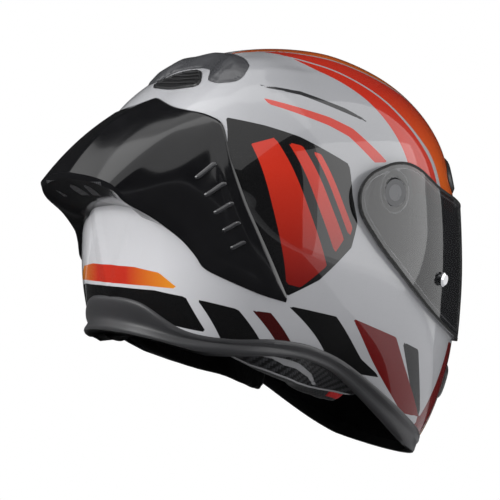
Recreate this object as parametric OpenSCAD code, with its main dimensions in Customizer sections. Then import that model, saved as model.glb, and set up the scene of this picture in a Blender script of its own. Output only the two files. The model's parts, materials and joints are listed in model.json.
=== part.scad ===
// Full face motorcycle helmet with a tall rear spoiler, a swinging clear shield and two vent sliders.
// It stands on its rubber edge trim with the chin bar towards -Y. The wearer's right is -X.
// Shapes are first laid out in the head frame: its centre is the middle of the head, Y runs back and Z up
// as the helmet is worn. A place on the shell is given by two angles: turn, 0 at the front, 90 at the
// wearer's right and 180 at the rear, and lift, 0 at eye level and 90 at the crown.

/* [Shell] */
// Half width of the shell at eye level
half_w = 122.5; // [118:0.5:127]
// Reach of the shell in front of the head centre
front_reach = 173.5; // [168:0.5:179]
// Reach of the shell behind the head centre
rear_reach = 131; // [127:0.5:136]
// Rise of the crown above the head centre
crown_rise = 150; // [146:0.5:155]
// Wall of the outer shell
shell_t = 3.5; // [2.5:0.1:4.5]
// Nose-up tilt of the helmet when it stands on its trim
stand_tilt = 22; // [20:0.5:24]

/* [Padding] */
// Thickness of the main impact liner
eps_t = 30; // [24:1:34]
// Thickness of the comfort liner over the head
comfort_t = 9; // [6:0.5:12]
// Thickness of the impact foam in the chin bar
chin_eps_t = 18; // [12:1:22]
// Thickness of the impact foam behind a cheek pad
cheek_eps_t = 10.5; // [8:0.5:12]
// Depth of a cheek pad from its foam backing to the face
cheek_pad_t = 33; // [26:1:36]
// Thickness of the hard panel under a cheek pad
panel_t = 2; // [1.5:0.1:3]
// Depth of the neck roll
neck_roll_t = 28; // [20:1:30]

/* [Edge trim and seal] */
// Thickness of the rubber trim lips
trim_t = 2; // [1.5:0.1:2.6]
// How far the rolled bottom bead of the trim stands out
bead_r = 3; // [2:0.1:4]
// Width of the eye port seal seen from the side
seal_w = 4; // [3:0.5:6]
// How far the eye port seal stands proud of the shell
seal_proud = 1.4; // [0.8:0.1:2]

/* [Shield] */
// Thickness of the shield
visor_t = 2.2; // [1.8:0.1:2.6]
// Gap between the shield and the shell
visor_gap = 2.6; // [2.4:0.1:3]
// Extra gap that the upper part of the shield needs to swing
visor_flare = 2.2; // [1.8:0.1:2.6]
// Pivot of the shield in front of the head centre
pivot_f = 35; // [33:0.5:38]
// Pivot of the shield above the head centre
pivot_z = 44; // [42:0.5:46]
// Radius of the pivot pins
pin_r = 6; // [5:0.25:7]
// Radius of the pivot bushes in the shield
bush_r = 10; // [9:0.25:12]
// Radius of the base that carries a pivot pin
base_r = 15; // [14:0.5:17]
// Depth of that base behind the shell surface
base_depth = 8; // [6:0.5:9]
// Thickness of the cover plates over the shield mechanism
plate_t = 0.8; // [0.5:0.1:1]
// Thickness of the anti-fog lens inside the shield
lens_t = 1.2; // [0.8:0.1:1.6]
// Head radius of the two posts that hold tear-off films
post_r = 5.5; // [4:0.25:6.5]
// Stem radius of the posts
post_stem_r = 2.2; // [1.5:0.1:3]
// Height of a post head over the shield
post_h = 4; // [3:0.25:5]

/* [Spoiler] */
// Reach of the spoiler's trailing edge behind the shell
spoiler_reach = 44; // [38:0.5:48]
// Thickness of the spoiler's trailing edge
spoiler_lip = 4; // [3:0.25:6]
// Step of the spoiler over the shell at its seam
spoiler_step = 2.2; // [1.5:0.1:3.5]
// Number of louvre ribs on each side of the spoiler
rib_count = 5; // [3:1:6]
// Length of a louvre rib seen from the side
rib_l = 12; // [9:1:14]
// Radius of the ends of a louvre rib
rib_r = 1.9; // [1.5:0.1:2.4]
// Height of a louvre rib over the spoiler
rib_h = 1.8; // [1.2:0.1:2.4]

/* [Vents] */
// Height of the top exhaust cover over the shell
top_vent_h = 5; // [4:0.25:7]
// Height of the brow intake over the shell
brow_vent_h = 2.4; // [2:0.1:3.2]
// Height of the chin intake over the shell
chin_vent_h = 2.8; // [2.2:0.1:4]
// Width of a vent slider
slider_w = 24; // [18:1:28]
// Height of a vent slider
slider_h = 9; // [7:0.5:11]
// Travel of the vent sliders
slider_travel = 6; // [4:0.5:8]

/* [Chin strap] */
// Width of the strap
strap_w = 22; // [18:1:24]
// Thickness of the strap
strap_t = 2; // [1.4:0.1:2.6]
// Radius of the strap rivets
rivet_r = 4; // [3:0.25:5]
// Wire radius of the D-rings
wire_r = 1.6; // [1.2:0.1:2]

/* [Clearances] */
// Gap between layers that lie on each other
layer_gap = 0.3; // [0.25:0.05:0.5]
// Running gap of the pivot pins in their bushes, on the radius
pin_play = 0.05; // [0.02:0.01:0.1]
// Gap round a slider
slider_play = 0.4; // [0.3:0.05:0.6]

/* [Hidden] */
$fn = 48;

// Turns of the shell's meridians on one side, closer at the narrow chin, and the lifts of its rings.
HALF_TURNS = [0, 6, 12, 18, 25, 33, 42, 51, 60, 70, 80, 90, 100, 110, 120, 130, 140, 150, 160, 170, 180];
TURNS = concat(HALF_TURNS, [for (i = [len(HALF_TURNS) - 2:-1:1]) 360 - HALF_TURNS[i]]);
LEVELS = [-58, -50, -42, -34, -26, -17, -8, 1, 11, 22, 33, 44, 55, 67, 79, 90];
far = 420;

// Swell of the shell beyond plain arcs, every 15 degrees of lift from -60 to 90.
SWELL_STEP = 15;
FRONT_SWELL = [55.5, 48.5, 29.5, 9.5, 0, 2.6, 7.4, 8.2, 6.6, 4.4, 0];
REAR_SWELL = [22, 18, 13, 5, 0, 0.2, 2.3, 2, -2.2, -2.2, 0];
SIDE_SWELL = [-10.5, -8.5, -5.5, -2.5, 0, 1.7, 6.6, 6.8, 3.4, 0.8, 0];
front_power = 2.1;
rear_power = 2.2;

// Lifts of the lower edge every 15 degrees of turn from the front to the rear.
TRIM_TOP = [-46.5, -47.2, -48.4, -48.8, -47.8, -45, -40.5, -34.4, -29.8, -27.5, -23.6, -15.5, -14];
TRIM_BOTTOM = [-50, -51, -53, -53.8, -53, -50.4, -46.2, -40.2, -35.6, -32.4, -29.6, -26.4, -25.2];
// Turns between which a cheek pad lies.
pad_from = 45.5;
pad_to = 141;
// Turns at which the chin foam meets the cheek foam and the cheek foam ends.
chin_turn = 44;
cheek_turn = 128;
EPS_EDGE = [0, 0, 0, -4, -7, -9, -10, -11, -14, -19, -19, -11, -9];
CHIN_TOP = [-25.5, -25.5, -24.5, -21, -16, -9.6, -10.6, -11.6, -14.6, -19.6, -19.6, -11.6, -9.6];

// Side outlines as [forward, up].
PORT = [[230, 14], [170, 17], [143, 21], [121, 27], [95, 34], [80, 40], [71, 43], [65, 42], [61.5, 36],
    [60, 22], [60, 4], [61, -10], [65, -18], [74, -26], [93, -38], [115, -49], [142, -59], [170, -66],
    [230, -68]];
VISOR = [[230, 24], [170, 27], [143, 32], [121, 38], [95, 45], [79, 53], [68, 59.5], [56, 64], [45, 65.6],
    [34, 65], [22, 62], [12, 58.5], [5, 53.5], [0.5, 47], [-1, 40], [0.5, 31], [4.5, 24], [10.5, 16.5],
    [22, 2.5], [42, -14.5], [68, -34], [93, -49.5], [115, -61], [142, -72], [170, -80], [230, -84]];
LENS = [[230, 4], [150, 10], [122, 17], [113, 17], [108, 10], [108, -10], [114, -26], [130, -38],
    [150, -46], [230, -54]];
// The port's outline counts only in front of this place.
port_back = 50;
channel_side = 32;
channel_w = 9;
post_f = 97;
post_z = -23;
lens_pin_lift = 0;
lens_pin_turn = 39;
lens_pin_r = 2.4;

// Spoiler stations from the centre to its end on one side. SEAM lies on the shell, as [turn, lift]; EDGE
// is its free edge, as [turn, lift, share of the reach].
SEAM = [[180, 52], [164, 47.2], [152, 44.8], [146, 43.4], [138, 40.5], [135, 30], [132, 23], [129, 15.5],
    [124.5, 6], [120, -4], [116, -13]];
EDGE = [[180, 18.9, 1], [170.4, 18.1, 0.99], [162.9, 16.3, 0.98], [161.7, 14, 0.83], [156.5, 11.3, 0.44],
    [149.5, 5.6, 0.13], [145, 0.4, 0.07], [142.9, -3.4, 0.07], [134.4, -7.4, 0.06], [124.7, -12, 0.06],
    [116.1, -15, 0.05]];
// How far the middle of each spoiler section stands off the shell, from the centre to its end.
BODY = [22, 21.5, 19.5, 16.5, 12, 7.5, 6, 5, 4.2, 3.6, 2.8];
under_drop = 3;
// The first rib seen from the side, and the steps to the next one.
rib_f = -105;
rib_z = 61;
rib_step = 3.6;
rib_pitch = 13.2;

// The top exhaust cover and grille seen from above as [side, forward], the intakes seen from the front.
TOP_VENT = [[0, -28], [20, -30], [36, -37], [50, -43], [57, -51], [56, -60], [47, -66], [33, -67],
    [22, -62], [12, -55], [0, -52]];
TOP_GRILLE = [[0, -54], [11, -57], [21, -64], [29, -71], [28, -75], [16, -77], [0, -78]];
grille_slot_w = 44;
grille_slot = 2.2;
grille_pitch = 4.8;
grille_back = 60;
BROW_VENT = [[0, 74], [30, 73], [60, 68], [79, 59], [82, 50], [76, 41], [60, 40], [30, 38], [0, 37]];
BROW_MOUTH = [[23, 60], [49, 58], [59, 54], [56, 48], [23, 49]];
CHIN_VENT = [[0, -92], [26, -93], [44, -99], [48, -106], [36, -124], [20, -129], [0, -130]];
CHIN_MOUTH = [[17, -101], [36, -104], [30, -119], [17, -121]];
brow_slider_z = 56;
chin_slider_z = -108;

// Levels of the layers inside the shell.
eps_out = -(shell_t + layer_gap);
eps_in = eps_out - eps_t;
comfort_out = eps_in - layer_gap;
comfort_in = comfort_out - comfort_t;
chin_in = eps_out - chin_eps_t;
cheek_in = eps_out - cheek_eps_t;
pad_out = cheek_in - 2 * layer_gap;
pad_in = pad_out - cheek_pad_t;
trim_in = -(shell_t + layer_gap + trim_t);
visor_in = visor_gap;
visor_out = visor_gap + visor_t;

function keyed(keys, first, step, a) =
    let (t = (a - first) / step,
        i = max(0, min(len(keys) - 2, floor(t))),
        f = t - i,
        k0 = keys[max(0, i - 1)],
        k1 = keys[i],
        k2 = keys[i + 1],
        k3 = keys[min(len(keys) - 1, i + 2)])
    0.5 * (2 * k1 + (k2 - k0) * f + (2 * k0 - 5 * k1 + 4 * k2 - k3) * f * f
        + (3 * k1 - k0 - 3 * k2 + k3) * f * f * f);

function fold(turn) = let (t = (turn + 720) % 360) t > 180 ? 360 - t : t;
function round_key(keys, turn) = keyed(keys, 0, 15, fold(turn));
function swell(keys, lift) = keyed(keys, -60, SWELL_STEP, lift);
function arc_reach(reach, lift) =
    let (s = lift > 0 ? pow(sin(lift), 2) : 0) reach * (1 - s) + crown_rise * s;
function radius(turn, lift) =
    let (front = cos(turn) >= 0,
        long = front ? arc_reach(front_reach, lift) + swell(FRONT_SWELL, lift)
            : arc_reach(rear_reach, lift) + swell(REAR_SWELL, lift),
        wide = arc_reach(half_w, lift) + swell(SIDE_SWELL, lift),
        power = front ? front_power : rear_power)
    pow(pow(abs(cos(turn)) / long, power) + pow(abs(sin(turn)) / wide, power), -1 / power);
function ray(turn, lift) = [-cos(lift) * sin(turn), -cos(lift) * cos(turn), sin(lift)];
// A point at a height over the shell's outer surface.
function skin(turn, lift, height = 0) = (radius(turn, lift) + height) * ray(turn, lift);
function turn_of(side, forward) = atan2(side, forward);
function lift_of(side, forward, up) = atan2(up, norm([side, forward]));
// Half width of the shell at a place of its side view, found by halving.
function half_at(forward, up, height = 0, low = 0, high = 220, steps = 24) =
    steps == 0 ? low
    : let (mid = (low + high) / 2,
        turn = turn_of(mid, forward),
        lift = lift_of(mid, forward, up),
        inside = norm([mid, forward, up]) < radius(turn, lift) + height)
    half_at(forward, up, height, inside ? mid : low, inside ? high : mid, steps - 1);
// Reach of the shell at a place of its front view.
function reach_at(side, up, height = 0, low = 0, high = 260, steps = 24) =
    steps == 0 ? low
    : let (mid = (low + high) / 2,
        turn = turn_of(side, mid),
        lift = lift_of(side, mid, up),
        inside = norm([side, mid, up]) < radius(turn, lift) + height)
    reach_at(side, up, height, inside ? mid : low, inside ? high : mid, steps - 1);
function smooth(t) = let (u = max(0, min(1, t))) u * u * (3 - 2 * u);
function flare(lift) = visor_flare * smooth((lift - 6) / 20);

// Standing on the trim: the head frame is tipped nose-up and raised.
function tipped_y(p) = p[1] * cos(stand_tilt) + p[2] * sin(stand_tilt);
function tipped_z(p) = p[2] * cos(stand_tilt) - p[1] * sin(stand_tilt);
chin_low = skin(12, round_key(TRIM_BOTTOM, 12), 0);
rear_low = skin(168, round_key(TRIM_BOTTOM, 168), bead_r);
flat_depth = 1;
stand_h = -max(tipped_z(chin_low), tipped_z(rear_low)) - flat_depth;
front_tip = min([for (lift = [-48:1:-30]) tipped_y(skin(0, lift, 0))]);
rear_tip = tipped_y(skin(EDGE[0][0], EDGE[0][1], spoiler_reach));
stand_y = -(front_tip + rear_tip) / 2;
module stand() translate([0, stand_y, stand_h]) rotate([-stand_tilt, 0, 0]) children();
// A head-frame point that would lie below a height over the ground moves straight up to it.
function grounded(p, clear = 0) =
    let (under = clear - (tipped_z(p) + stand_h))
    under > 0 ? p + under * [0, -sin(stand_tilt), cos(stand_tilt)] : p;

module ring_hull(low, high, height, flared) {
    rings = [for (lift = [low, high], turn = TURNS)
        skin(turn, lift, height + (flared ? flare(lift) : 0))];
    hull() polyhedron(rings, [[for (k = [0:len(rings) - 1]) k]]);
}

// The whole head form at a height over the shell surface, as a stack of bands.
module form(height, flared = false)
    for (i = [0:len(LEVELS) - 2]) ring_hull(LEVELS[i], LEVELS[i + 1], height, flared);

module layer(outer, inner, flared = false) difference() {
    form(outer, flared);
    form(inner, flared);
}

// Everything under a cone through the head centre whose lift follows a key list. Its creases lie a
// little beside the shell's meridians.
crease_shift = 1.5;
module below(keys, rise = 0) {
    steps = len(TURNS);
    rim = [for (turn = TURNS) far * ray(turn + crease_shift, round_key(keys, turn + crease_shift) + rise)];
    floor_ring = [for (p = rim) [p[0], p[1], -far * 1.5]];
    points = concat([[0, 0, 0], [0, 0, -far * 1.5]], rim, floor_ring);
    faces = [for (k = [0:steps - 1]) let (n = (k + 1) % steps) each [
        [0, 2 + k, 2 + n],
        [1, 2 + steps + n, 2 + steps + k],
        [2 + k, 2 + steps + k, 2 + steps + n],
        [2 + k, 2 + steps + n, 2 + n]]];
    oriented(points, faces);
}

// A closed polyhedron with its faces turned outwards.
function volume6(points, faces) =
    let (parts = [for (f = faces) points[f[0]] * cross(points[f[1]], points[f[2]])])
    parts * [for (p = parts) 1];
module oriented(points, faces)
    polyhedron(points, volume6(points, faces) > 0 ? [for (f = faces) [f[0], f[2], f[1]]] : faces);

// A skin over matching loops of points, closed on itself or capped at both ends.
module loft(loops, closed = false) {
    count = len(loops);
    size = len(loops[0]);
    middle = function (loop) [for (p = loop) 1 / len(loop)] * loop;
    points = concat([for (loop = loops) each loop],
        closed ? [] : [middle(loops[0]), middle(loops[count - 1])]);
    sides = [for (i = [0:count - (closed ? 1 : 2)], j = [0:size - 1])
        let (a = i * size, b = ((i + 1) % count) * size, n = (j + 1) % size)
        each [[a + j, b + j, b + n], [a + j, b + n, a + n]]];
    caps = closed ? [] : [for (j = [0:size - 1]) let (n = (j + 1) % size, last = (count - 1) * size)
        each [[count * size, j, n], [count * size + 1, last + n, last + j]]];
    oriented(points, concat(sides, caps));
}

// A sector of the turns between two limits.
module sector(from, to) translate([0, 0, -far]) linear_extrude(2 * far)
    polygon(concat([[0, 0]], [for (t = [0:8])
        let (turn = from + (to - from) * t / 8) [-far * sin(turn), -far * cos(turn)]]));

// Foam that lines the shell between two lift curves and two turns.
module foam(from, to, top, bottom, outer, inner) intersection() {
    difference() {
        layer(outer, inner);
        below(bottom);
    }
    below(top);
    sector(from, to);
}
LIP_TOP = [for (lift = TRIM_TOP) lift + 3.4];

// A curved plate between two heights over the shell, between two turns and two lift curves.
module plate(turns, top, bottom, outer, inner, steps = 4, rows = 12) {
    loops = [for (k = [0:rows])
        let (turn = turns[0] + (turns[1] - turns[0]) * k / rows,
            high = top(turn),
            low = bottom(turn))
        concat([for (i = [0:steps]) skin(turn, high + (low - high) * i / steps, outer)],
            [for (i = [0:steps]) skin(turn, low + (high - low) * i / steps, inner)])];
    loft(loops);
}

module along_x(width = 2 * far) rotate([90, 0, -90])
    linear_extrude(width, center = true) children();
module to_front() rotate([90, 0, 0]) linear_extrude(far) children();
module to_top() linear_extrude(far) children();
module both_sides() {
    children();
    mirror([1, 0, 0]) children();
}
// An outline of one half and its mirror image.
module whole_outline(points) {
    polygon(points);
    mirror([1, 0]) polygon(points);
}
// Local Z points out of the shell and local X down it.
module on_skin(turn, lift, height) translate(skin(turn, lift, height))
    rotate([0, 90 - lift, -90 - turn]) children();

// Local Z along the true normal of the surface.
function normal_at(turn, lift, height) =
    let (n = cross(skin(turn + 1, lift, height) - skin(turn - 1, lift, height),
        skin(turn, lift + 1, height) - skin(turn, lift - 1, height)))
    n / norm(n);
module on_normal(turn, lift, height)
    let (n = normal_at(turn, lift, height), out = n * ray(turn, lift) > 0 ? n : -n)
    translate(skin(turn, lift, height)) rotate([0, acos(out[2]), atan2(out[1], out[0])]) children();

module port_cut(grow = 0) along_x() intersection() {
    offset(delta = grow) polygon(PORT);
    translate([port_back, -far]) square(2 * far);
}

module outer_shell() color("silver") stand() difference() {
    layer(0, -shell_t);
    below(SEAT);
    port_cut();
    both_sides() pivot_pocket(layer_gap);
    brow_holes();
    chin_holes();
}

// The pocket in the shell and liner that a shield base sits in.
module pivot_pocket(play) translate([-far, -pivot_f, pivot_z]) rotate([0, 90, 0])
    cylinder(r = base_r + play, h = far - base_x() + base_depth + play, $fn = 32);
function base_x() = half_at(pivot_f + base_r, pivot_z) + visor_gap / 2;

module brow_holes() both_sides() to_front() offset(delta = -3) polygon(BROW_MOUTH);
module chin_holes() both_sides() to_front() offset(delta = -2) polygon(CHIN_MOUTH);

module eps_liner() color("dimgray") stand() difference() {
    layer(eps_out, eps_in);
    below(EPS_EDGE);
    port_cut(2);
    both_sides() pivot_pocket(2 * layer_gap);
    brow_holes();
    both_sides() exhaust_channel();
}

// A channel in the liner that leads air from the brow to the rear exhaust.
module exhaust_channel() difference() {
    translate([channel_side - channel_w / 2, -112, 0]) cube([channel_w, 190, far]);
    form(eps_out - channel_w);
}

module comfort_liner() color("darkslategray") stand() difference() {
    layer(comfort_out, comfort_in);
    below(EPS_EDGE, 7.4);
    port_cut(5.6);
}

module chin_eps() color("dimgray") stand() foam(-chin_turn, chin_turn, CHIN_TOP, LIP_TOP, eps_out, chin_in);

module cheek_eps_right() color("dimgray") stand() difference() {
    foam(chin_turn + 0.3, cheek_turn, CHIN_TOP, LIP_TOP, eps_out, cheek_in);
    strap_hole(rivet_r + layer_gap);
}
module cheek_eps_left() mirror([1, 0, 0]) cheek_eps_right();

strap_turn = 92;
strap_lift = -22;
module strap_hole(r) on_skin(strap_turn, strap_lift, -60) cylinder(r = r, h = 90);

// Under the trim a pad and its panel slant inwards, down to the ground. A place there is named by how far it
// lies in from the trim's lower edge, and by its share of the way from that edge to the ground.
pad_clear = 2;
pad_slant = 19;
pad_bulge = 5;
pad_foot = 19;
// Width of the panel's slanting wall, measured level.
panel_level = 1.3 * panel_t;
panel_cover = panel_level + 2 * layer_gap;
PANEL_SHARE = [[pad_from, 0.1], [52, 0.35], [60, 0.55], [68, 0.66], [80, 0.78], [97, 0.87], [114, 0.92],
    [130, 0.92], [136, 0.6], [pad_to, 0.1]];
PAD_SHARE = [[pad_from, 0.6], [50, 1], [128, 1], [135, 0.9], [pad_to, 0.5]];
function hang(turn, inward, share) =
    let (q = skin(turn, round_key(TRIM_BOTTOM, turn) - 0.5, trim_in - layer_gap)
            + inward * [sin(turn), cos(turn), 0],
        over = tipped_z(q) + stand_h - pad_clear)
    q - [0, 0, share * over / cos(stand_tilt)];
// How far in the pad's lower face lies at a share of the way down.
function pad_face(turn, share) =
    let (cover = lookup(turn, PANEL_SHARE), past = max(0, share - cover) / (1 - cover))
    panel_cover + pad_slant * min(share, cover) + pad_bulge * past;

// One cheek pad section: a crowned cushion whose inner side is drawn in at both ends.
PAD_TURNS = [pad_from:(pad_to - pad_from) / 16:pad_to];
function pad_loop(turn) =
    let (edge = round_key(TRIM_BOTTOM, turn),
        top = round_key(CHIN_TOP, turn) - 1,
        along = (2 * turn - pad_from - pad_to) / (pad_to - pad_from),
        draw = 1 - 0.3 * pow(abs(along), 4),
        middle = (pad_out + pad_in) / 2,
        mid_lift = (top + edge) / 2,
        low = lookup(turn, PAD_SHARE),
        cover = min(low, lookup(turn, PANEL_SHARE)),
        back = [[pad_out, top - 4], [pad_out, top - 12], [pad_out, mid_lift], [pad_out, edge + 4]],
        face = [[pad_in + 1, edge + 4], [pad_in - 1, mid_lift - 4], [pad_in, top - 10],
            [pad_in + 7, top - 2], [middle, top], [pad_out - 5, top]])
    concat([for (q = back) skin(turn, q[1], q[0])],
        [hang(turn, panel_cover, 0), hang(turn, pad_face(turn, cover), cover),
            hang(turn, pad_face(turn, low), low),
            hang(turn, pad_face(turn, low) + pad_foot * draw, 0.97 * low)],
        [for (q = face) skin(turn, q[1], middle + (q[0] - middle) * (q[0] < middle ? draw : 1))]);
module cheek_pad_right() color("darkslategray") stand() difference() {
    loft([for (turn = PAD_TURNS) pad_loop(turn)]);
    strap_slot();
}
module cheek_pad_left() mirror([1, 0, 0]) cheek_pad_right();
module strap_slot() on_skin(strap_turn, strap_lift, -60)
    translate([-strap_t - 1.5, -strap_w / 2 - 1.5, -20]) cube([2 * strap_t + 3, strap_w + 3, 80]);

// The hard panel that covers the slanting face of a cheek pad, narrowing to both ends and bowed outwards.
panel_bow = 1;
function panel_loop(turn) =
    let (cover = lookup(turn, PANEL_SHARE))
    [for (q = [[0, 0], [0.5, -panel_bow], [1, 0], [1, panel_level], [0.5, panel_level - panel_bow],
        [0, panel_level]])
        hang(turn, pad_slant * cover * q[0] + q[1], cover * q[0])];
module pad_panel_right() color("dimgray") stand() loft([for (turn = PAD_TURNS) panel_loop(turn)]);
module pad_panel_left() mirror([1, 0, 0]) pad_panel_right();

// Turn between a cheek pad and the neck roll.
roll_gap = 0.8;
function roll_loop(turn) =
    let (edge = round_key(TRIM_BOTTOM, turn),
        top = round_key(EPS_EDGE, turn) - 1.6,
        outer = trim_in - 1.6,
        inner = outer - neck_roll_t)
    [for (q = [[outer, edge + 3], [outer, edge - 1], [outer - 4, edge - 4.5], [outer - 12, edge - 6],
        [inner + 7, edge - 4], [inner + 1, edge + 2], [inner, (top + edge) / 2], [inner + 3, top - 2],
        [inner + 7, top], [outer - 4, top]]) grounded(skin(turn, q[1], q[0]), 2)];
module neck_roll() color("darkslategray") stand()
    loft([for (k = [0:16]) roll_loop(pad_to + roll_gap + (360 - 2 * (pad_to + roll_gap)) * k / 16)]);

function trim_loop(turn) =
    let (top = round_key(TRIM_TOP, turn),
        bottom = round_key(TRIM_BOTTOM, turn),
        rear = smooth((fold(turn) - 100) / 50),
        bead = trim_t + (bead_r - trim_t) * (0.4 + 0.6 * rear))
    [for (q = [[trim_t * 0.6, top], [trim_t, top - 0.8], [trim_t, bottom + 2.6], [bead + 1, bottom + 1.6],
        [bead + 1.4, bottom + 0.6], [bead, bottom - 0.4], [0, bottom - 0.8], [trim_in + 1, bottom - 0.4],
        [trim_in, bottom + 0.8], [trim_in, top + 2.6], [-shell_t, top + 2.6], [-shell_t, top]])
        grounded(skin(turn, q[1], q[0]))];
SEAT = [for (i = [0:len(TRIM_TOP) - 1]) (TRIM_TOP[i] + TRIM_BOTTOM[i]) / 2];
module edge_trim() color("dimgray") stand() difference() {
    loft([for (turn = TURNS) trim_loop(turn)], closed = true);
    difference() {
        layer(layer_gap, -shell_t - layer_gap);
        below(SEAT, -0.15);
    }
}

module eye_port_seal() color("black") stand() intersection() {
    layer(seal_proud, trim_in);
    along_x() difference() {
        intersection() {
            offset(delta = -layer_gap) polygon(PORT);
            translate([port_back, -far]) square(2 * far);
        }
        offset(delta = -layer_gap - seal_w) polygon(PORT);
    }
}

// One spoiler section on the right side of the helmet, from its seam round its free edge to the shell.
function spoiler_loop(i, grow = 0) =
    let (seam = SEAM[i],
        edge = EDGE[i],
        reach = edge[2] * spoiler_reach,
        lip = spoiler_lip * (0.4 + 0.6 * edge[2]),
        lift_lip = lip / 2 / (rear_reach + reach) * 57.3,
        mid_turn = (seam[0] + edge[0]) / 2,
        mid_lift = (seam[1] + edge[1]) / 2)
    [skin(seam[0], seam[1], -2), skin(seam[0], seam[1], spoiler_step + grow),
        skin(mid_turn, mid_lift, BODY[i] + grow),
        skin(edge[0], edge[1] + lift_lip, reach + grow), skin(edge[0], edge[1] - lift_lip, reach - lip / 2),
        skin(edge[0], edge[1] - lift_lip - under_drop * edge[2], reach * 0.35),
        skin(edge[0], edge[1] - lift_lip - under_drop * edge[2], -2)];
module spoiler_solid(grow = 0) both_sides() for (i = [0:len(SEAM) - 2])
    hull() polyhedron(concat(spoiler_loop(i, grow), spoiler_loop(i + 1, grow)), [[for (k = [0:13]) k]]);
// The wide slot under the trailing edge that lets air out, as [forward of the edge, up].
EXTRACTOR = [[-1, 52], [7, 44], [25, 38], [29, 46], [17, 54]];
extractor_w = 0.6 * half_w;
module extractor_outline() translate([-(rear_reach + spoiler_reach), 0]) polygon(EXTRACTOR);
module rear_spoiler() color("black") stand() difference() {
    spoiler_solid();
    form(layer_gap);
    along_x(extractor_w) extractor_outline();
}

module rear_extractor() color("dimgray") stand() intersection() {
    spoiler_solid();
    along_x(extractor_w - 2 * layer_gap) offset(delta = -layer_gap) extractor_outline();
}

// Louvre ribs laid across the groove on the spoiler's flank, following its surface.
module spoiler_louvres() color("gray") stand() intersection() {
    difference() {
        spoiler_solid(rib_h);
        spoiler_solid(layer_gap);
    }
    along_x() for (k = [0:rib_count - 1])
        translate([rib_f + rib_step * k, rib_z - rib_pitch * k]) rotate(40 - 2 * k) hull()
            for (end = [-1, 1]) translate([end * (rib_l / 2 - rib_r), 0]) circle(rib_r, $fn = 8);
}

module top_shape(points, height, inset) intersection() {
    layer(height, layer_gap);
    to_top() mirror([0, 1]) offset(delta = -inset) whole_outline(points);
}
module top_vent_cover() color("dimgray") stand() {
    top_shape(TOP_VENT, top_vent_h * 0.45, 0);
    top_shape(TOP_VENT, top_vent_h, 4);
}

module top_vent_grille() color("black") stand() difference() {
    top_shape(TOP_GRILLE, 2.4, 0);
    for (k = [0:2]) translate([-grille_slot_w / 2, grille_back + grille_pitch * k, 0])
        cube([grille_slot_w, grille_slot, far]);
}

module brow_vent_frame() color("black") stand() difference() {
    intersection() {
        layer(brow_vent_h, layer_gap);
        to_front() whole_outline(BROW_VENT);
    }
    both_sides() to_front() polygon(BROW_MOUTH);
    slider_slot(brow_slider_z);
}

// Vent sliders run in a straight slot that leans with the shell.
function lean_at(up) = atan2(reach_at(0, up - 5) - reach_at(0, up + 5), 10);
module slider_frame(up) translate([0, -reach_at(0, up), up]) rotate([-lean_at(up), 0, 0]) children();
module slider_slot(up) slider_frame(up)
    translate([-slider_w / 2 - slider_play, -20, -slider_h / 2 - slider_play])
    cube([slider_w + 2 * slider_play, 40, slider_h + 2 * slider_play + slider_travel]);
module slider(up, height) slider_frame(up) {
    translate([-slider_w / 2, -height, -slider_h / 2]) cube([slider_w, height - 0.8, slider_h]);
    translate([-slider_w / 4, -height - 1.5, -1.5]) cube([slider_w / 2, 2, 3]);
}
module brow_vent_slider() color("dimgray") stand() slider(brow_slider_z, brow_vent_h);

module chin_vent_frame() color("black") stand() difference() {
    intersection() {
        layer(chin_vent_h, layer_gap);
        to_front() whole_outline(CHIN_VENT);
    }
    both_sides() to_front() polygon(CHIN_MOUTH);
    slider_slot(chin_slider_z);
}
module chin_vent_slider() color("dimgray") stand() slider(chin_slider_z, chin_vent_h);

module chin_vent_mesh() color("gray") stand() intersection() {
    layer(1.6, layer_gap);
    both_sides() to_front() offset(delta = -layer_gap) polygon(CHIN_MOUTH);
}

// The plate that covers the shield's ratchet, between the shell and the shield.
module mechanism_plate_right() color("gray") stand() difference() {
    intersection() {
        layer(plate_t + layer_gap, layer_gap);
        translate([-far, 0, 0]) along_x() intersection() {
            translate([pivot_f + 4, pivot_z - 14]) scale([1, 1.35]) circle(27, $fn = 24);
            offset(delta = -6) polygon(VISOR);
            translate([0, -far]) square([56, 2 * far]);
        }
    }
    pivot_pocket(layer_gap);
}
module mechanism_plate_left() mirror([1, 0, 0]) mechanism_plate_right();

function pin_x() = half_at(pivot_f, pivot_z, visor_out + flare(20)) + 0.4;
module visor_base_right() color("gray") stand() translate([-base_x(), -pivot_f, pivot_z])
    rotate([0, -90, 0]) {
        translate([0, 0, -base_depth]) cylinder(r = base_r, h = base_depth);
        cylinder(r = pin_r, h = pin_x() - base_x());
    }
module visor_base_left() mirror([1, 0, 0]) visor_base_right();

module visor_bush_right() color("dimgray") stand() translate([-base_x() - layer_gap, -pivot_f, pivot_z])
    rotate([0, -90, 0]) difference() {
        cylinder(r = bush_r, h = pin_x() - base_x() - layer_gap);
        translate([0, 0, -1]) cylinder(r = pin_r + pin_play, h = 40);
    }
module visor_bush_left() mirror([1, 0, 0]) visor_bush_right();

module visor() color("lightgray", 0.5) stand() difference() {
    layer(visor_out, visor_in, true);
    difference() {
        cube(4 * far, center = true);
        along_x() polygon(VISOR);
    }
    translate([-far, -pivot_f, pivot_z]) rotate([0, 90, 0])
        cylinder(r = bush_r + layer_gap, h = 2 * far, $fn = 24);
    both_sides() post_place() translate([0, 0, -20])
        cylinder(r = post_stem_r + layer_gap, h = 40, $fn = 16);
}

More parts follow.
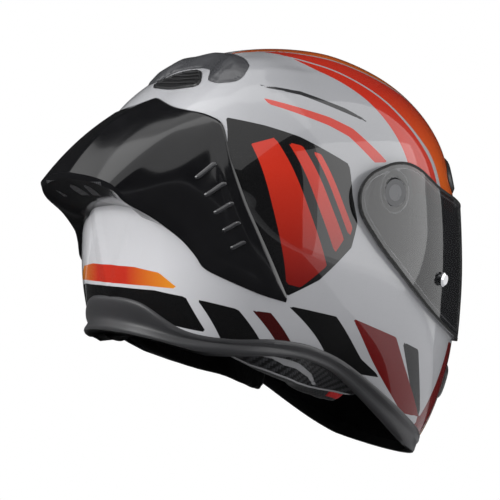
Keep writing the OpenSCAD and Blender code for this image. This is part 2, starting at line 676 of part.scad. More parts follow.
function post_side() = half_at(post_f, post_z, visor_out);
module post_place() on_normal(turn_of(post_side(), post_f), lift_of(post_side(), post_f, post_z), visor_out)
    children();
module tear_off_posts() color("silver") stand() both_sides() post_place() {
    translate([0, 0, 0.1]) rotate_extrude() polygon([[0, 0], [post_r * 0.7, 0], [post_r * 0.7, 1],
        [post_r, 1.4], [post_r, post_h - 1.2], [post_r * 0.72, post_h], [0, post_h]]);
    translate([0, 0, -visor_t - 2]) cylinder(r = post_stem_r, h = visor_t + 2.4);
    translate([0, 0, -visor_t - 2.2]) cylinder(r = post_stem_r + 1.2, h = 1);
}

// The two pins that hold the lens stand behind the shield, in holes that go right through the lens.
lens_pin_h = 2;
lens_pin_gap = 1.4;
module lens_pin_place() both_sides() on_skin(lens_pin_turn, lens_pin_lift, visor_in) children();
module pinlock_lens() color("lightgray", 0.5) stand() difference() {
    intersection() {
        layer(visor_in - layer_gap, visor_in - layer_gap - lens_t, true);
        along_x() polygon(LENS);
    }
    lens_pin_place() translate([0, 0, -10]) cylinder(r = lens_pin_r + layer_gap, h = 20, $fn = 16);
}
module pinlock_pins() color("silver") stand() lens_pin_place()
    translate([0, 0, -lens_pin_gap - lens_pin_h]) cylinder(r = lens_pin_r, h = lens_pin_h);

module breath_deflector() color("black") stand() plate([-32, 32],
    function (t) round_key(CHIN_TOP, t) + 9 - 3 * pow(abs(t) / 32, 2),
    function (t) round_key(CHIN_TOP, t) + 0.4, chin_in + 8, chin_in + 6, 2, 12);

// The fabric curtain that runs back from the chin trim under the chin.
curtain_depth = 42;
curtain_turn = 42;
module chin_curtain() color("black") stand() loft([for (turn = [-curtain_turn:6:curtain_turn])
    let (low = round_key(TRIM_BOTTOM, turn) + 1.8,
        reach = curtain_depth * (1 - 0.5 * pow(abs(turn) / curtain_turn, 3)))
    [skin(turn, low, trim_in - 1.2), skin(turn, low + 1.2, trim_in - reach / 2),
        skin(turn, low + 3.4, trim_in - reach), skin(turn, low + 4.1, trim_in - reach),
        skin(turn, low + 1.9, trim_in - reach / 2), skin(turn, low + 0.6, trim_in - 1.2)]]);

// A strap comes from its rivet through the slot in the pad and hangs down the pad's inner face.
strap_half = strap_t / 2 / (half_w + pad_in) * 57.3;
strap_clear = 2.2;
strap_hang = pad_in - strap_clear;
strap_root = cheek_in - 1.2;
function strap_corner(height, lift, side) =
    skin(strap_turn, strap_lift + lift, height)
        + side * strap_w / 2 * [-cos(strap_turn), sin(strap_turn), 0];
function strap_section(a, b) =
    [strap_corner(a[0], a[1], 1), strap_corner(a[0], a[1], -1), strap_corner(b[0], b[1], -1),
        strap_corner(b[0], b[1], 1)];
module strap_web(drop) loft(concat(
    [strap_section([strap_root, strap_half], [strap_root, -strap_half]),
        strap_section([strap_hang - strap_t, strap_half], [strap_hang, -strap_half])],
    [for (k = [1:4]) strap_section([strap_hang - strap_t, -drop * k / 4], [strap_hang, -drop * k / 4])]));
module strap_right() color("black") stand() strap_web(24);
module strap_left() color("black") stand() mirror([1, 0, 0]) strap_web(30);

module strap_rivets() color("silver") stand() both_sides() on_skin(strap_turn, strap_lift, 0)
    translate([0, 0, cheek_in - 0.1]) cylinder(r = rivet_r, h = cheek_eps_t - 0.5);

// Two rings lie on the strap, one on the other.
ring_r = 11;
ring_sag = pow(ring_r + wire_r, 2) / 2 / (half_w + pad_in);
module d_rings() color("silver") stand() for (k = [0, 1])
    on_normal(strap_turn, strap_lift - 15 - 3 * k,
        strap_hang - strap_t - ring_sag - wire_r - layer_gap - (2 * wire_r + layer_gap) * k)
    rotate_extrude() translate([ring_r, 0]) circle(wire_r);

// The pull tab lies on the lower face of the pad, in front.
TAB_TURNS = [49:4:65];
tab_t = 1;
tab_clear = 0.5;
tab_out = tab_clear + tab_t;
function tab_loop(turn) =
    [for (q = [[0.82, tab_out], [0.95, tab_out], [0.95, tab_clear], [0.82, tab_clear]])
    hang(turn, pad_face(turn, q[0]) - q[1], q[0])];
module emergency_tab_right() color("red") stand() loft([for (turn = TAB_TURNS) tab_loop(turn)]);
module emergency_tab_left() mirror([1, 0, 0]) emergency_tab_right();

outer_shell();
eps_liner();
chin_eps();
comfort_liner();
cheek_eps_right();
cheek_eps_left();
cheek_pad_right();
cheek_pad_left();
pad_panel_right();
pad_panel_left();
neck_roll();
edge_trim();
eye_port_seal();
rear_spoiler();
spoiler_louvres();
rear_extractor();
top_vent_cover();
top_vent_grille();
brow_vent_frame();
brow_vent_slider();
chin_vent_frame();
chin_vent_slider();
chin_vent_mesh();
mechanism_plate_right();
mechanism_plate_left();
visor_base_right();
visor_base_left();
visor();
visor_bush_right();
visor_bush_left();
tear_off_posts();
pinlock_lens();
pinlock_pins();
breath_deflector();
chin_curtain();
strap_right();
strap_left();
strap_rivets();
d_rings();
emergency_tab_right();
emergency_tab_left();
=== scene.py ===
"""Looks of a full face motorcycle helmet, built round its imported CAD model."""
import json
import math

import bpy
import numpy as np
from mathutils import Matrix, Vector
from mathutils.bvhtree import BVHTree


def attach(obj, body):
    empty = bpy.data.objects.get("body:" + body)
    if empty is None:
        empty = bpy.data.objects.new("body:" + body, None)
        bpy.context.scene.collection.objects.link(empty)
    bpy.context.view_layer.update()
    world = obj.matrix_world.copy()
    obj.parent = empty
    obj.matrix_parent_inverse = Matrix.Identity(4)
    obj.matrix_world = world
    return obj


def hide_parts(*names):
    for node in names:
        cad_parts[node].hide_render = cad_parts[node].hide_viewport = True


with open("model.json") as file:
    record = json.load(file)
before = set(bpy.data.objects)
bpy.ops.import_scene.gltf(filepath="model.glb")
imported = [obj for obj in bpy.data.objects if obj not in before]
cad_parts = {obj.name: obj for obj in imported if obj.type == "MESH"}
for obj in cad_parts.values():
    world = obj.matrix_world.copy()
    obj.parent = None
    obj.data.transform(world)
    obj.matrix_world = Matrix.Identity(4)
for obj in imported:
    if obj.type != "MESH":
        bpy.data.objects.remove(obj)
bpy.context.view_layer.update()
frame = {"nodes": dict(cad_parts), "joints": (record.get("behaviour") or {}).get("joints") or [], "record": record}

NODES = frame["nodes"]
SIDES = ((1, "right"), (-1, "left"))

# The shell's surface, in the head frame

# The head frame is in millimetres: X to the wearer's left, Y back, Z up as worn. Turn is 0 at the front,
# 90 at the wearer's right and 180 at the rear. Lift is 0 at eye level and 90 at the crown.
HALF_W, FRONT_REACH, REAR_REACH, CROWN = 122.5, 173.5, 131.0, 150.0
# Swell over the plain form at each 15 degrees of lift, from -60.
FRONT_SWELL = [55.5, 48.5, 29.5, 9.5, 0, 2.6, 7.4, 8.2, 6.6, 4.4, 0]
REAR_SWELL = [22, 18, 13, 5, 0, 0.2, 2.3, 2, -2.2, -2.2, 0]
SIDE_SWELL = [-10.5, -8.5, -5.5, -2.5, 0, 1.7, 6.6, 6.8, 3.4, 0.8, 0]
# Lift of each edge at each 15 degrees of turn, from 0.
TRIM_TOP = [-46.5, -47.2, -48.4, -48.8, -47.8, -45, -40.5, -34.4, -29.8, -27.5, -23.6, -15.5, -14]
TRIM_BOTTOM = [-50, -51, -53, -53.8, -53, -50.4, -46.2, -40.2, -35.6, -32.4, -29.6, -26.4, -25.2]
EPS_EDGE = [0, 0, 0, -4, -7, -9, -10, -11, -14, -19, -19, -11, -9]
CHIN_TOP = [-25.5, -25.5, -24.5, -21, -16, -9.6, -10.6, -11.6, -14.6, -19.6, -19.6, -11.6, -9.6]
# Outlines in the side view as [forward, up].
PORT = [[230, 14], [170, 17], [143, 21], [121, 27], [95, 34], [80, 40], [71, 43], [65, 42], [61.5, 36],
    [60, 22], [60, 4], [61, -10], [65, -18], [74, -26], [93, -38], [115, -49], [142, -59], [170, -66],
    [230, -68]]
VISOR = [[230, 24], [170, 27], [143, 32], [121, 38], [95, 45], [79, 53], [68, 59.5], [56, 64], [45, 65.6],
    [34, 65], [22, 62], [12, 58.5], [5, 53.5], [0.5, 47], [-1, 40], [0.5, 31], [4.5, 24], [10.5, 16.5],
    [22, 2.5], [42, -14.5], [68, -34], [93, -49.5], [115, -61], [142, -72], [170, -80], [230, -84]]
LENS = [[230, 4], [150, 10], [122, 17], [113, 17], [108, 10], [108, -10], [114, -26], [130, -38],
    [150, -46], [230, -54]]
# The spoiler from the rear to the flank: seam [turn, lift], trailing edge [turn, lift, share] and body
# height.
SEAM = [[180, 52], [164, 47.2], [152, 44.8], [146, 43.4], [138, 40.5], [135, 30], [132, 23], [129, 15.5],
    [124.5, 6], [120, -4], [116, -13]]
EDGE = [[180, 18.9, 1], [170.4, 18.1, 0.99], [162.9, 16.3, 0.98], [161.7, 14, 0.83], [156.5, 11.3, 0.44],
    [149.5, 5.6, 0.13], [145, 0.4, 0.07], [142.9, -3.4, 0.07], [134.4, -7.4, 0.06], [124.7, -12, 0.06],
    [116.1, -15, 0.05]]
BODY = [22, 21.5, 19.5, 16.5, 12, 7.5, 6, 5, 4.2, 3.6, 2.8]
# Right halves of the vents: [side, forward] in the top view, [side, up] in the front view.
TOP_VENT = [[0, -28], [20, -30], [46, -39], [50, -42], [56.5, -53], [55, -60], [46, -66.5], [42, -67.5],
    [34, -67.5], [31, -66], [23, -58], [20, -56], [8, -52.5], [0, -52]]
TOP_GRILLE = [[0, -54], [11, -57], [21, -64], [29, -71], [28, -75], [16, -77], [0, -78]]
BROW_VENT = [[0, 74], [30, 73], [60, 68], [79, 59], [82, 50], [76, 41], [60, 40], [30, 38], [0, 37]]
BROW_MOUTH = [[23, 60], [49, 58], [59, 54], [56, 48], [23, 49]]
CHIN_VENT = [[0, -92], [26, -93], [44, -99], [48, -106], [36, -124], [20, -129], [0, -130]]
CHIN_MOUTH = [[17, -101], [36, -104], [30, -119], [17, -121]]
PIVOT_F, PIVOT_Z = 35.0, 44.0
BASE_HOLE, BUSH_HOLE = 15.3, 10.3
TRIM_IN, PAD_OUT, PAD_IN = -5.8, -14.9, -47.9
PAD_FROM, PAD_TO = 45.5, 141.0
GAP = 0.3
SKIN_IN = -3.5

TILT = math.radians(22)
COS, SIN = math.cos(TILT), math.sin(TILT)
hinge = next(j for j in frame["joints"] if j["name"] == "visor_hinge")["pos_m"]
STAND_Y = hinge[1] * 1000 + PIVOT_F * COS - PIVOT_Z * SIN
STAND_H = hinge[2] * 1000 - PIVOT_Z * COS - PIVOT_F * SIN


def stand_way(ways):
    """A direction in the head frame, turned into the row frame."""
    p = np.asarray(ways, float)
    return np.stack([p[..., 0], p[..., 1] * COS + p[..., 2] * SIN, p[..., 2] * COS - p[..., 1] * SIN], -1)


def stand(points):
    """Head frame in millimetres to the row frame in metres."""
    return (stand_way(points) + [0, STAND_Y, STAND_H]) / 1000


def over_ground(points):
    return stand_way(points)[..., 2] + STAND_H


def grounded(points, clear=0.0):
    """The points, with those under the ground lifted to it."""
    p = np.array(points, float)
    under = np.maximum(0, clear - over_ground(p))
    p[..., 1] -= under * SIN
    p[..., 2] += under * COS
    return p


def smooth(t):
    u = np.clip(t, 0, 1)
    return u * u * (3 - 2 * u)


def spline(a, b, c, d, f):
    """A smooth line through four values, at share f of the way between the middle two."""
    return 0.5 * (2 * b + (c - a) * f + (2 * a - 5 * b + 4 * c - d) * f ** 2
        + (3 * b - a - 3 * c + d) * f ** 3)


def keyed(keys, first, step, at):
    """The value at a place between evenly spaced keys."""
    keys = np.asarray(keys, float)
    t = (np.asarray(at, float) - first) / step
    i = np.clip(np.floor(t).astype(int), 0, len(keys) - 2)
    last = keys[np.minimum(i + 2, len(keys) - 1)]
    return spline(keys[np.maximum(i - 1, 0)], keys[i], keys[i + 1], last, t - i)


def fold(turn):
    """Turn on either side as a turn from 0 to 180."""
    t = np.mod(turn, 360)
    return np.where(t > 180, 360 - t, t)


def round_key(keys, turn):
    return keyed(keys, 0, 15, fold(turn))


def arrays(*values):
    return np.broadcast_arrays(*(np.asarray(v, float) for v in values))


def plain_radius(turn, lift):
    turn, lift = arrays(turn, lift)
    c, s = np.cos(np.radians(turn)), np.sin(np.radians(turn))
    up = np.where(lift > 0, np.sin(np.radians(lift)) ** 2, 0)

    def reach(plain, swell):
        return plain * (1 - up) + CROWN * up + keyed(swell, -60, 15, lift)
    long = np.where(c >= 0, reach(FRONT_REACH, FRONT_SWELL), reach(REAR_REACH, REAR_SWELL))
    wide = reach(HALF_W, SIDE_SWELL)
    power = np.where(c >= 0, 2.1, 2.2)
    return ((np.abs(c) / long) ** power + (np.abs(s) / wide) ** power) ** (-1 / power)


def crown_terms(x, y):
    return np.stack([x ** 0, y, x ** 2, y ** 2, x ** 2 * y, y ** 3, x ** 4, x ** 2 * y ** 2, y ** 4], -1)


def fit_crown():
    """An even surface over the crown, fitted to the rings round it: height by side and forward place."""
    turns, lifts = np.meshgrid(np.arange(0, 360, 6.0), np.array([64, 67, 70, 73, 76.0]))
    r = plain_radius(turns, lifts)
    x = (r * np.cos(np.radians(lifts)) * np.sin(np.radians(turns))).ravel() / 50
    y = (r * np.cos(np.radians(lifts)) * np.cos(np.radians(turns))).ravel() / 50
    return np.linalg.lstsq(crown_terms(x, y), (r * np.sin(np.radians(lifts))).ravel(), rcond=None)[0]


CROWN_FIT = fit_crown()


def radius(turn, lift):
    """The shell's distance from the head frame's origin."""
    turn, lift = arrays(turn, lift)
    plain = plain_radius(turn, lift)
    up, t = np.sin(np.radians(np.maximum(lift, 40))), np.radians(turn)
    r = plain
    for _ in range(6):
        flat = r * np.cos(np.radians(lift))
        x, y = flat * np.sin(t) / 50, flat * np.cos(t) / 50
        r = np.where(lift > 60, crown_terms(x, y) @ CROWN_FIT / up, plain)
    share = smooth((lift - 64) / 12)
    return plain * (1 - share) + r * share


def skin(turn, lift, height=0.0):
    """The point at a height over the shell."""
    turn, lift, height = arrays(turn, lift, height)
    r = radius(turn, lift) + height
    a, b = np.radians(turn), np.radians(lift)
    return np.stack([-r * np.cos(b) * np.sin(a), -r * np.cos(b) * np.cos(a), r * np.sin(b)], -1)


def flare(lift):
    """How far the shield's top stands off."""
    return 2.2 * smooth((np.asarray(lift, float) - 6) / 20)


def rounded(points, times=2):
    """Cuts the corners of a closed outline."""
    p = np.asarray(points, float)
    for _ in range(times):
        n = np.roll(p, -1, 0)
        p = np.stack([0.75 * p + 0.25 * n, 0.25 * p + 0.75 * n], 1).reshape(-1, 2)
    return p


def mirrored(half):
    """An outline of one half as [side, other], made whole about side 0."""
    p = np.asarray(half, float)
    q = p[::-1] * [-1, 1]
    return np.concatenate([p, q[(np.abs(q[:, 0]) > 1e-6)]])


def inside_of(x, y, outline):
    """Signed distance to a closed outline, positive inside."""
    x, y = arrays(x, y)
    best = np.full(x.shape, 1e9)
    odd = np.zeros(x.shape, bool)
    p = np.asarray(outline, float)
    for a, b in zip(p, np.roll(p, -1, 0)):
        d = b - a
        t = np.clip(((x - a[0]) * d[0] + (y - a[1]) * d[1]) / max(d @ d, 1e-12), 0, 1)
        best = np.minimum(best, (x - a[0] - t * d[0]) ** 2 + (y - a[1] - t * d[1]) ** 2)
        if abs(d[1]) > 1e-12:
            odd ^= ((a[1] > y) != (b[1] > y)) & (x < (b[0] - a[0]) * (y - a[1]) / d[1] + a[0])
    return np.where(odd, 1, -1) * np.sqrt(best)


def side_view(p):
    return -p[..., 1], p[..., 2]


def from_pivot(p):
    """Distance from the pivots' line, and a large number near the middle of the helmet."""
    f, z = side_view(p)
    return np.where(np.abs(p[..., 0]) > 60, np.hypot(f - PIVOT_F, z - PIVOT_Z), 999)


def level(height):
    """A plain height for patch."""
    return lambda t, l, s: height


# Mesh building
def put(name, data):
    obj = bpy.data.objects.new(name, data)
    bpy.context.scene.collection.objects.link(obj)
    return obj


def shade_smooth(mesh):
    mesh.polygons.foreach_set("use_smooth", [True] * len(mesh.polygons))


def new_object(name, verts, faces, loop_normals=None, crease=None):
    """A mesh object from points in the head frame. Loop normals are in the head frame too."""
    mesh = bpy.data.meshes.new(name)
    mesh.from_pydata(stand(verts).tolist(), [], [list(map(int, f)) for f in faces])
    mesh.update()
    shade_smooth(mesh)
    if crease is not None:
        mesh.set_sharp_from_angle(angle=math.radians(crease))
    if loop_normals is not None:
        mesh.normals_split_custom_set(stand_way(loop_normals).tolist())
    return put(name, mesh)


def set_attribute(obj, name, values):
    """A number at each point of the mesh, for the material to read."""
    obj.data.attributes.new(name, "FLOAT", "POINT").data.foreach_set("value",
        np.asarray(values, np.float32).ravel())


def unit(v):
    return v / (np.linalg.norm(v, axis=-1, keepdims=True) + 1e-12)


def patch(name, turns, lifts, inside, outer, inner, wrap=False, pole=False, at=0.0, fields=None):
    """A closed piece that follows the shell between two heights, where inside(turn, lift, point) is
    positive. outer and inner take (turn, lift, distance to the outline). It can wrap right round, and
    close over the pole. turns and lifts are (first, end, step). Fields become attributes."""
    turns, lifts = np.arange(*turns, dtype=float), np.arange(*lifts, dtype=float)
    size = len(turns), len(lifts)

    def value(t, l):
        return inside(t, l, skin(t, l, at))

    T, L = np.meshgrid(turns, lifts, indexing="ij")
    S = value(T, L)
    IN = S > 0
    ids = -np.ones(size, int)
    ids[IN] = np.arange(IN.sum())
    points = [np.array([T[IN], L[IN], S[IN]])]

    def cuts(here, there, ahead, above):
        """Adds the points where the outline cuts the grid's lines, found by halving; gives their ids."""
        i, j = np.nonzero(here != there)
        t0, l0, first = turns[i], lifts[j], here[i, j]
        t1, l1 = t0 + ahead, lifts[j + above]
        lo, hi = np.zeros(len(i)), np.ones(len(i))
        for _ in range(14):
            mid = (lo + hi) / 2
            same = (value(t0 + (t1 - t0) * mid, l0 + (l1 - l0) * mid) > 0) == first
            lo, hi = np.where(same, mid, lo), np.where(same, hi, mid)
        mid = (lo + hi) / 2
        cut = -np.ones(size, int)
        cut[i, j] = sum(p.shape[1] for p in points) + np.arange(len(i))
        points.append(np.array([t0 + (t1 - t0) * mid, l0 + (l1 - l0) * mid, 0 * mid]))
        return cut

    after = np.roll(np.arange(size[0]), -1) if wrap else np.arange(1, size[0])
    cut_u = cuts(IN[:len(after)], IN[after], turns[1] - turns[0], 0)
    cut_v = cuts(IN[:, :-1], IN[:, 1:], 0, 1)
    faces = []
    for a, b in enumerate(after):
        corners = np.stack([IN[a, :-1], IN[a, 1:], IN[b, 1:], IN[b, :-1]])
        full = corners.all(0)
        for k in np.concatenate([np.nonzero(full)[0], np.nonzero(corners.any(0) & ~full)[0]]):
            ring = [n for n in (ids[a, k], cut_v[a, k], ids[a, k + 1], cut_u[a, k + 1], ids[b, k + 1],
                cut_v[b, k], ids[b, k], cut_u[a, k]) if n >= 0]
            if len(ring) >= 3:
                faces.append(ring)
    if pole:
        top = sum(p.shape[1] for p in points)
        points.append(np.array([[0.0], [90.0], [99.0]]))
        faces += [[ids[a, -1], top, ids[b, -1]] for a, b in enumerate(after)]
    t, l, s = np.concatenate(points, axis=1)
    count = len(t)

    def surface(height, tt, ll):
        return skin(tt, ll, height(tt, ll, np.maximum(value(tt, ll), 0)))

    def normals(height):
        e, ll = 0.04, np.minimum(l, 89.9)
        n = unit(-np.cross(surface(height, t + e, ll) - surface(height, t - e, ll),
            surface(height, t, ll + e) - surface(height, t, ll - e)))
        if pole:
            q = surface(height, np.array([45.0, 225, 135, 315]), np.full(4, 89.5))
            near = unit(np.cross(q[0] - q[1], q[2] - q[3]))
            n[top] = near * np.sign(near[2])
        return n

    out_p, in_p = skin(t, l, outer(t, l, s)), skin(t, l, inner(t, l, s))
    verts = np.concatenate([out_p, in_p])
    edges = dict.fromkeys((a, b) for f in faces for a, b in zip(f, f[1:] + f[:1]))
    rim = np.array([[b, a, a + count, b + count] for a, b in edges if (b, a) not in edges])
    q = verts[rim]
    each = unit(np.cross(q[:, 2] - q[:, 0], q[:, 3] - q[:, 1]))
    rim_n = np.zeros((count, 3))
    for corner in (0, 1):
        np.add.at(rim_n, rim[:, corner], each)
    shared, each = unit(rim_n)[rim % count], each[:, None]
    rim_loops = np.where((shared * each).sum(-1, keepdims=True) > 0.7, shared, each)
    back = [f[::-1] for f in faces]
    loops = [normals(outer)[np.concatenate(faces)], -normals(inner)[np.concatenate(back)],
        rim_loops.reshape(-1, 3)]
    obj = new_object(name, verts, faces + [[v + count for v in f] for f in back] + rim.tolist(),
        np.concatenate(loops))
    set_attribute(obj, "edge", np.concatenate([s, s]))
    for key, field in (fields or {}).items():
        v = field(t, l, out_p)
        set_attribute(obj, key, np.concatenate([v, v]))
    return obj


def quads(n, m, closed=False):
    """The faces between n loops of m points."""
    return [[a + j, b + j, b + (j + 1) % m, a + (j + 1) % m]
        for a, b in ((i * m, (i + 1) % n * m) for i in range(n if closed else n - 1)) for j in range(m)]


def tube_loft(name, loops, closed=False, crease=40):
    """A skin over matching loops of points, capped at both ends unless it is closed."""
    loops = np.asarray(loops, float)
    n, m = loops.shape[:2]
    verts = loops.reshape(-1, 3)
    faces = quads(n, m, closed)
    if not closed:
        verts = np.concatenate([verts, [loops[0].mean(0), loops[-1].mean(0)]])
        for j in range(m):
            k = (j + 1) % m
            faces += [[n * m, j, k], [n * m + 1, (n - 1) * m + k, (n - 1) * m + j]]
    if sum(verts[f[0]] @ np.cross(verts[a], verts[b]) for f in faces for a, b in zip(f[1:], f[2:])) < 0:
        faces = [f[::-1] for f in faces]
    return new_object(name, verts, faces, crease=crease)


def smooth_line(points, count, closed=False):
    """A smooth line through the points, with count steps to each span."""
    p = np.asarray(points, float)
    n = len(p)
    out = []
    for i in range(n if closed else n - 1):
        near = range(i - 1, i + 3)
        k = [j % n for j in near] if closed else np.clip(near, 0, n - 1)
        out += [spline(*p[k], t) for t in np.arange(count) / count]
    return np.array(out if closed else out + [p[-1]])


def blurred(a, times):
    """Averages neighbours along the first axis, but for the ends."""
    a = np.array(a, float)
    for _ in range(times):
        a[1:-1] = 0.25 * a[:-2] + 0.5 * a[1:-1] + 0.25 * a[2:]
    return a


def rope(name, path, r, sides=10):
    """A round bead along a line in the head frame."""
    p = np.asarray(path, float)
    d = np.gradient(p, axis=0)
    d /= np.linalg.norm(d, axis=1, keepdims=True)
    a = np.cross(d, [0, 0, 1.0])
    a /= np.linalg.norm(a, axis=1, keepdims=True) + 1e-9
    b = np.cross(d, a)
    w = (np.arange(sides) * 2 * math.pi / sides)[None, :, None]
    from_end = np.minimum(np.arange(len(p)), np.arange(len(p))[::-1])
    rr = r * np.sqrt(np.clip(from_end / 3 + 0.05, 0, 1))
    rings = np.cos(w) * a[:, None] + np.sin(w) * b[:, None]
    return tube_loft(name, p[:, None] + rr[:, None, None] * rings, crease=60)


# Materials
class Graph:
    """Short hands for building a node tree."""

    def __init__(self, owner):
        owner.use_nodes = True
        self.tree = owner.node_tree
        self.tree.nodes.clear()

    def node(self, kind, **values):
        n = self.tree.nodes.new(kind)
        for k, v in values.items():
            setattr(n, k, v)
        return n

    def link(self, a, b):
        self.tree.links.new(a, b)

    def feed(self, socket, value):
        if isinstance(value, bpy.types.NodeSocket):
            self.link(value, socket)
        elif isinstance(value, (tuple, list)) and len(value) == 3 and socket.type == "RGBA":
            socket.default_value = (*value, 1)
        else:
            socket.default_value = value

    def made(self, node, *values, sockets=range(9), out=0):
        """The node's output, once its sockets are fed with the values."""
        for k, v in zip(sockets, values):
            self.feed(node.inputs[k], v)
        return node.outputs[out]

    def math(self, operation, *values):
        return self.made(self.node("ShaderNodeMath", operation=operation), *values)

    def times(self, a, b):
        return self.math("MULTIPLY", a, b)

    def plus(self, a, b):
        return self.math("ADD", a, b)

    def minus(self, a, b):
        return self.math("SUBTRACT", a, b)

    def choose(self, factor, a, b):
        """One shader or the other."""
        return self.made(self.node("ShaderNodeMixShader"), factor, a, b)


class Surface(Graph):
    """A material of one main shader."""

    def __init__(self, name):
        self.material = bpy.data.materials.new(name)
        super().__init__(self.material)
        self.out = self.node("ShaderNodeOutputMaterial")
        self.shader = self.node("ShaderNodeBsdfPrincipled")
        self.link(self.shader.outputs[0], self.out.inputs[0])
        self.place = self.node("ShaderNodeTexCoord").outputs["Object"]

    def mix(self, factor, a, b):
        n = self.node("ShaderNodeMix", data_type="RGBA")
        return self.made(n, factor, a, b, sockets=(0, 6, 7), out=2)

    def field(self, name):
        return self.node("ShaderNodeAttribute", attribute_name=name).outputs["Fac"]

    def step(self, value, at=0.0, soft=0.12):
        """0 below a value and 1 above it, with a soft change."""
        n = self.node("ShaderNodeMapRange", interpolation_type="SMOOTHSTEP")
        return self.made(n, value, at - soft, at + soft)

    def span(self, value, a, b, c=0.0, d=1.0):
        """The range a..b drawn over c..d, and held beyond it."""
        return self.made(self.node("ShaderNodeMapRange"), value, a, b, c, d)

    def noise(self, scale, detail=3.0):
        return self.made(self.node("ShaderNodeTexNoise"), self.place, scale, detail,
            sockets=("Vector", "Scale", "Detail"), out="Fac")

    def uneven(self, noise, low, high):
        """A value that wanders between two limits."""
        return self.span(noise, 0.3, 0.7, low, high)

    def blend(self, a, b, share):
        return self.plus(self.times(a, share), self.times(b, 1 - share))

    def tint(self, factor, colour, vary):
        """A colour that varies to either side by a share of itself."""
        return self.mix(factor, tuple(c * (1 - vary) for c in colour),
            tuple(min(1, c * (1 + vary)) for c in colour))

    def bump(self, height, strength, distance):
        return self.made(self.node("ShaderNodeBump"), strength, distance, height,
            sockets=("Strength", "Distance", "Height"))

    def facing(self, blend):
        return self.made(self.node("ShaderNodeLayerWeight"), blend, out="Facing")

    def xyz(self):
        n = self.node("ShaderNodeSeparateXYZ")
        self.link(self.place, n.inputs[0])
        return n.outputs

    def done(self, **values):
        """Sets the shader's sockets and gives the material."""
        for k, v in values.items():
            self.feed(self.shader.inputs[k.replace("_", " ")], v)
        return self.material


def plastic(name, colour, rough=0.4, grain=900, grain_depth=0.00006, vary=0.12, coat=0.0, metallic=0.0,
        rough_vary=0.06, spec=0.5, sheen=0.0):
    """Moulded plastic, rubber or metal: a fine moulded grain, uneven gloss and a little colour change."""
    g = Surface(name)
    broad, fine = g.noise(38, 4), g.noise(grain, 2)
    return g.done(Base_Color=g.tint(broad, colour, vary), Metallic=metallic, Specular_IOR_Level=spec,
        Roughness=g.uneven(g.blend(broad, fine, 0.6), max(0.02, rough - rough_vary), rough + rough_vary),
        Normal=g.bump(fine, 0.5, grain_depth), Coat_Weight=coat, Coat_Roughness=0.03, Sheen_Weight=sheen,
        Sheen_Roughness=0.5)


def cloth(name, colour, pitch=1100.0, depth=0.00025, vary=0.25, sheen=0.35, ribs=False):
    """Knitted or woven fabric: crossed threads with a soft nap and uneven dye."""
    g = Surface(name)
    x, y, z = g.xyz()
    along = g.math("SINE", g.times(g.plus(x, g.times(z, 0.8)), pitch * 2))
    across = g.math("SINE", g.times(g.minus(y, g.times(z, 0.8)), pitch * 2))
    weave = along if ribs else g.times(along, across)
    nap, broad = g.plus(g.times(weave, 0.5), g.noise(700, 3)), g.noise(60, 4)
    return g.done(Base_Color=g.tint(g.blend(g.span(weave, -1, 1), broad, 0.5), colour, vary),
        Roughness=g.uneven(broad, 0.78, 0.95), Normal=g.bump(nap, 0.6, depth), Sheen_Weight=sheen,
        Sheen_Roughness=0.4)


def spoiler_material():
    g = Surface("spoiler_gloss")
    ripple, broad = g.noise(26, 2), g.noise(90, 4)
    return g.done(Base_Color=g.tint(broad, (0.008, 0.008, 0.009), 0.3),
        Roughness=g.uneven(broad, 0.12, 0.17), Normal=g.bump(ripple, 0.2, 0.001), Coat_Weight=0.25,
        Coat_Roughness=0.05)


# The second silver is the first one painted lighter: a painted highlight where the rear lamp falls on the rear
# plate.
SILVER, PAINTED_HIGHLIGHT_SILVER = (0.46, 0.462, 0.478), (0.74, 0.74, 0.76)
RED, DEEP_RED, DUSK = (0.64, 0.035, 0.016), (0.16, 0.004, 0.004), (0.055, 0.004, 0.004)
ORANGE, AMBER = (0.80, 0.135, 0.012), (0.90, 0.32, 0.02)
BLACK, LINE_GREY = (0.007, 0.007, 0.0075), (0.03, 0.03, 0.032)
# Where the crown's stripes change colour, as places across it.
STRIPE_IN, STRIPE_OUT = 62, 98


def shell_material():
    """Gloss lacquer over silver paint with plain bands, each of which is a distance field on the mesh."""
    g = Surface("shell_lacquer")
    flake, cloud = g.noise(2600, 2), g.noise(14, 3)
    up, turn, across = g.field("up"), g.field("turn"), g.field("across")
    glint = g.blend(flake, cloud, 0.55)
    # Painted highlight: towards the rear the silver is painted lighter where the rear lamp falls, fully below the
    # crown and half as much over it.
    behind = g.times(g.span(turn, 128, 158), g.span(up, 105, 65, 0.5, 1))
    colour = g.mix(behind, g.tint(glint, SILVER, 0.07), g.tint(glint, PAINTED_HIGHLIGHT_SILVER, 0.05))
    red = g.mix(g.span(up, -30, 62), DEEP_RED, RED)
    warm = g.mix(g.step(across, STRIPE_IN, 0.3), g.mix(g.span(up, 60, 150), AMBER, ORANGE),
        g.mix(g.step(across, STRIPE_OUT, 0.3), g.mix(g.span(up, 50, 120), ORANGE, RED), red))
    for band, paint in (("black", BLACK), ("red", red), ("dusk", DUSK), ("brow", warm),
            ("amber", g.mix(g.span(turn, 172, 153), RED, AMBER)), ("line", LINE_GREY)):
        colour = g.mix(g.step(g.field(band)), colour, paint)
    return g.done(Base_Color=colour, Roughness=g.uneven(flake, 0.22, 0.34), Specular_IOR_Level=0.12,
        Normal=g.bump(g.noise(55, 2), 0.12, 0.0006), Coat_Weight=1.0, Coat_Roughness=0.015, Coat_IOR=1.5)


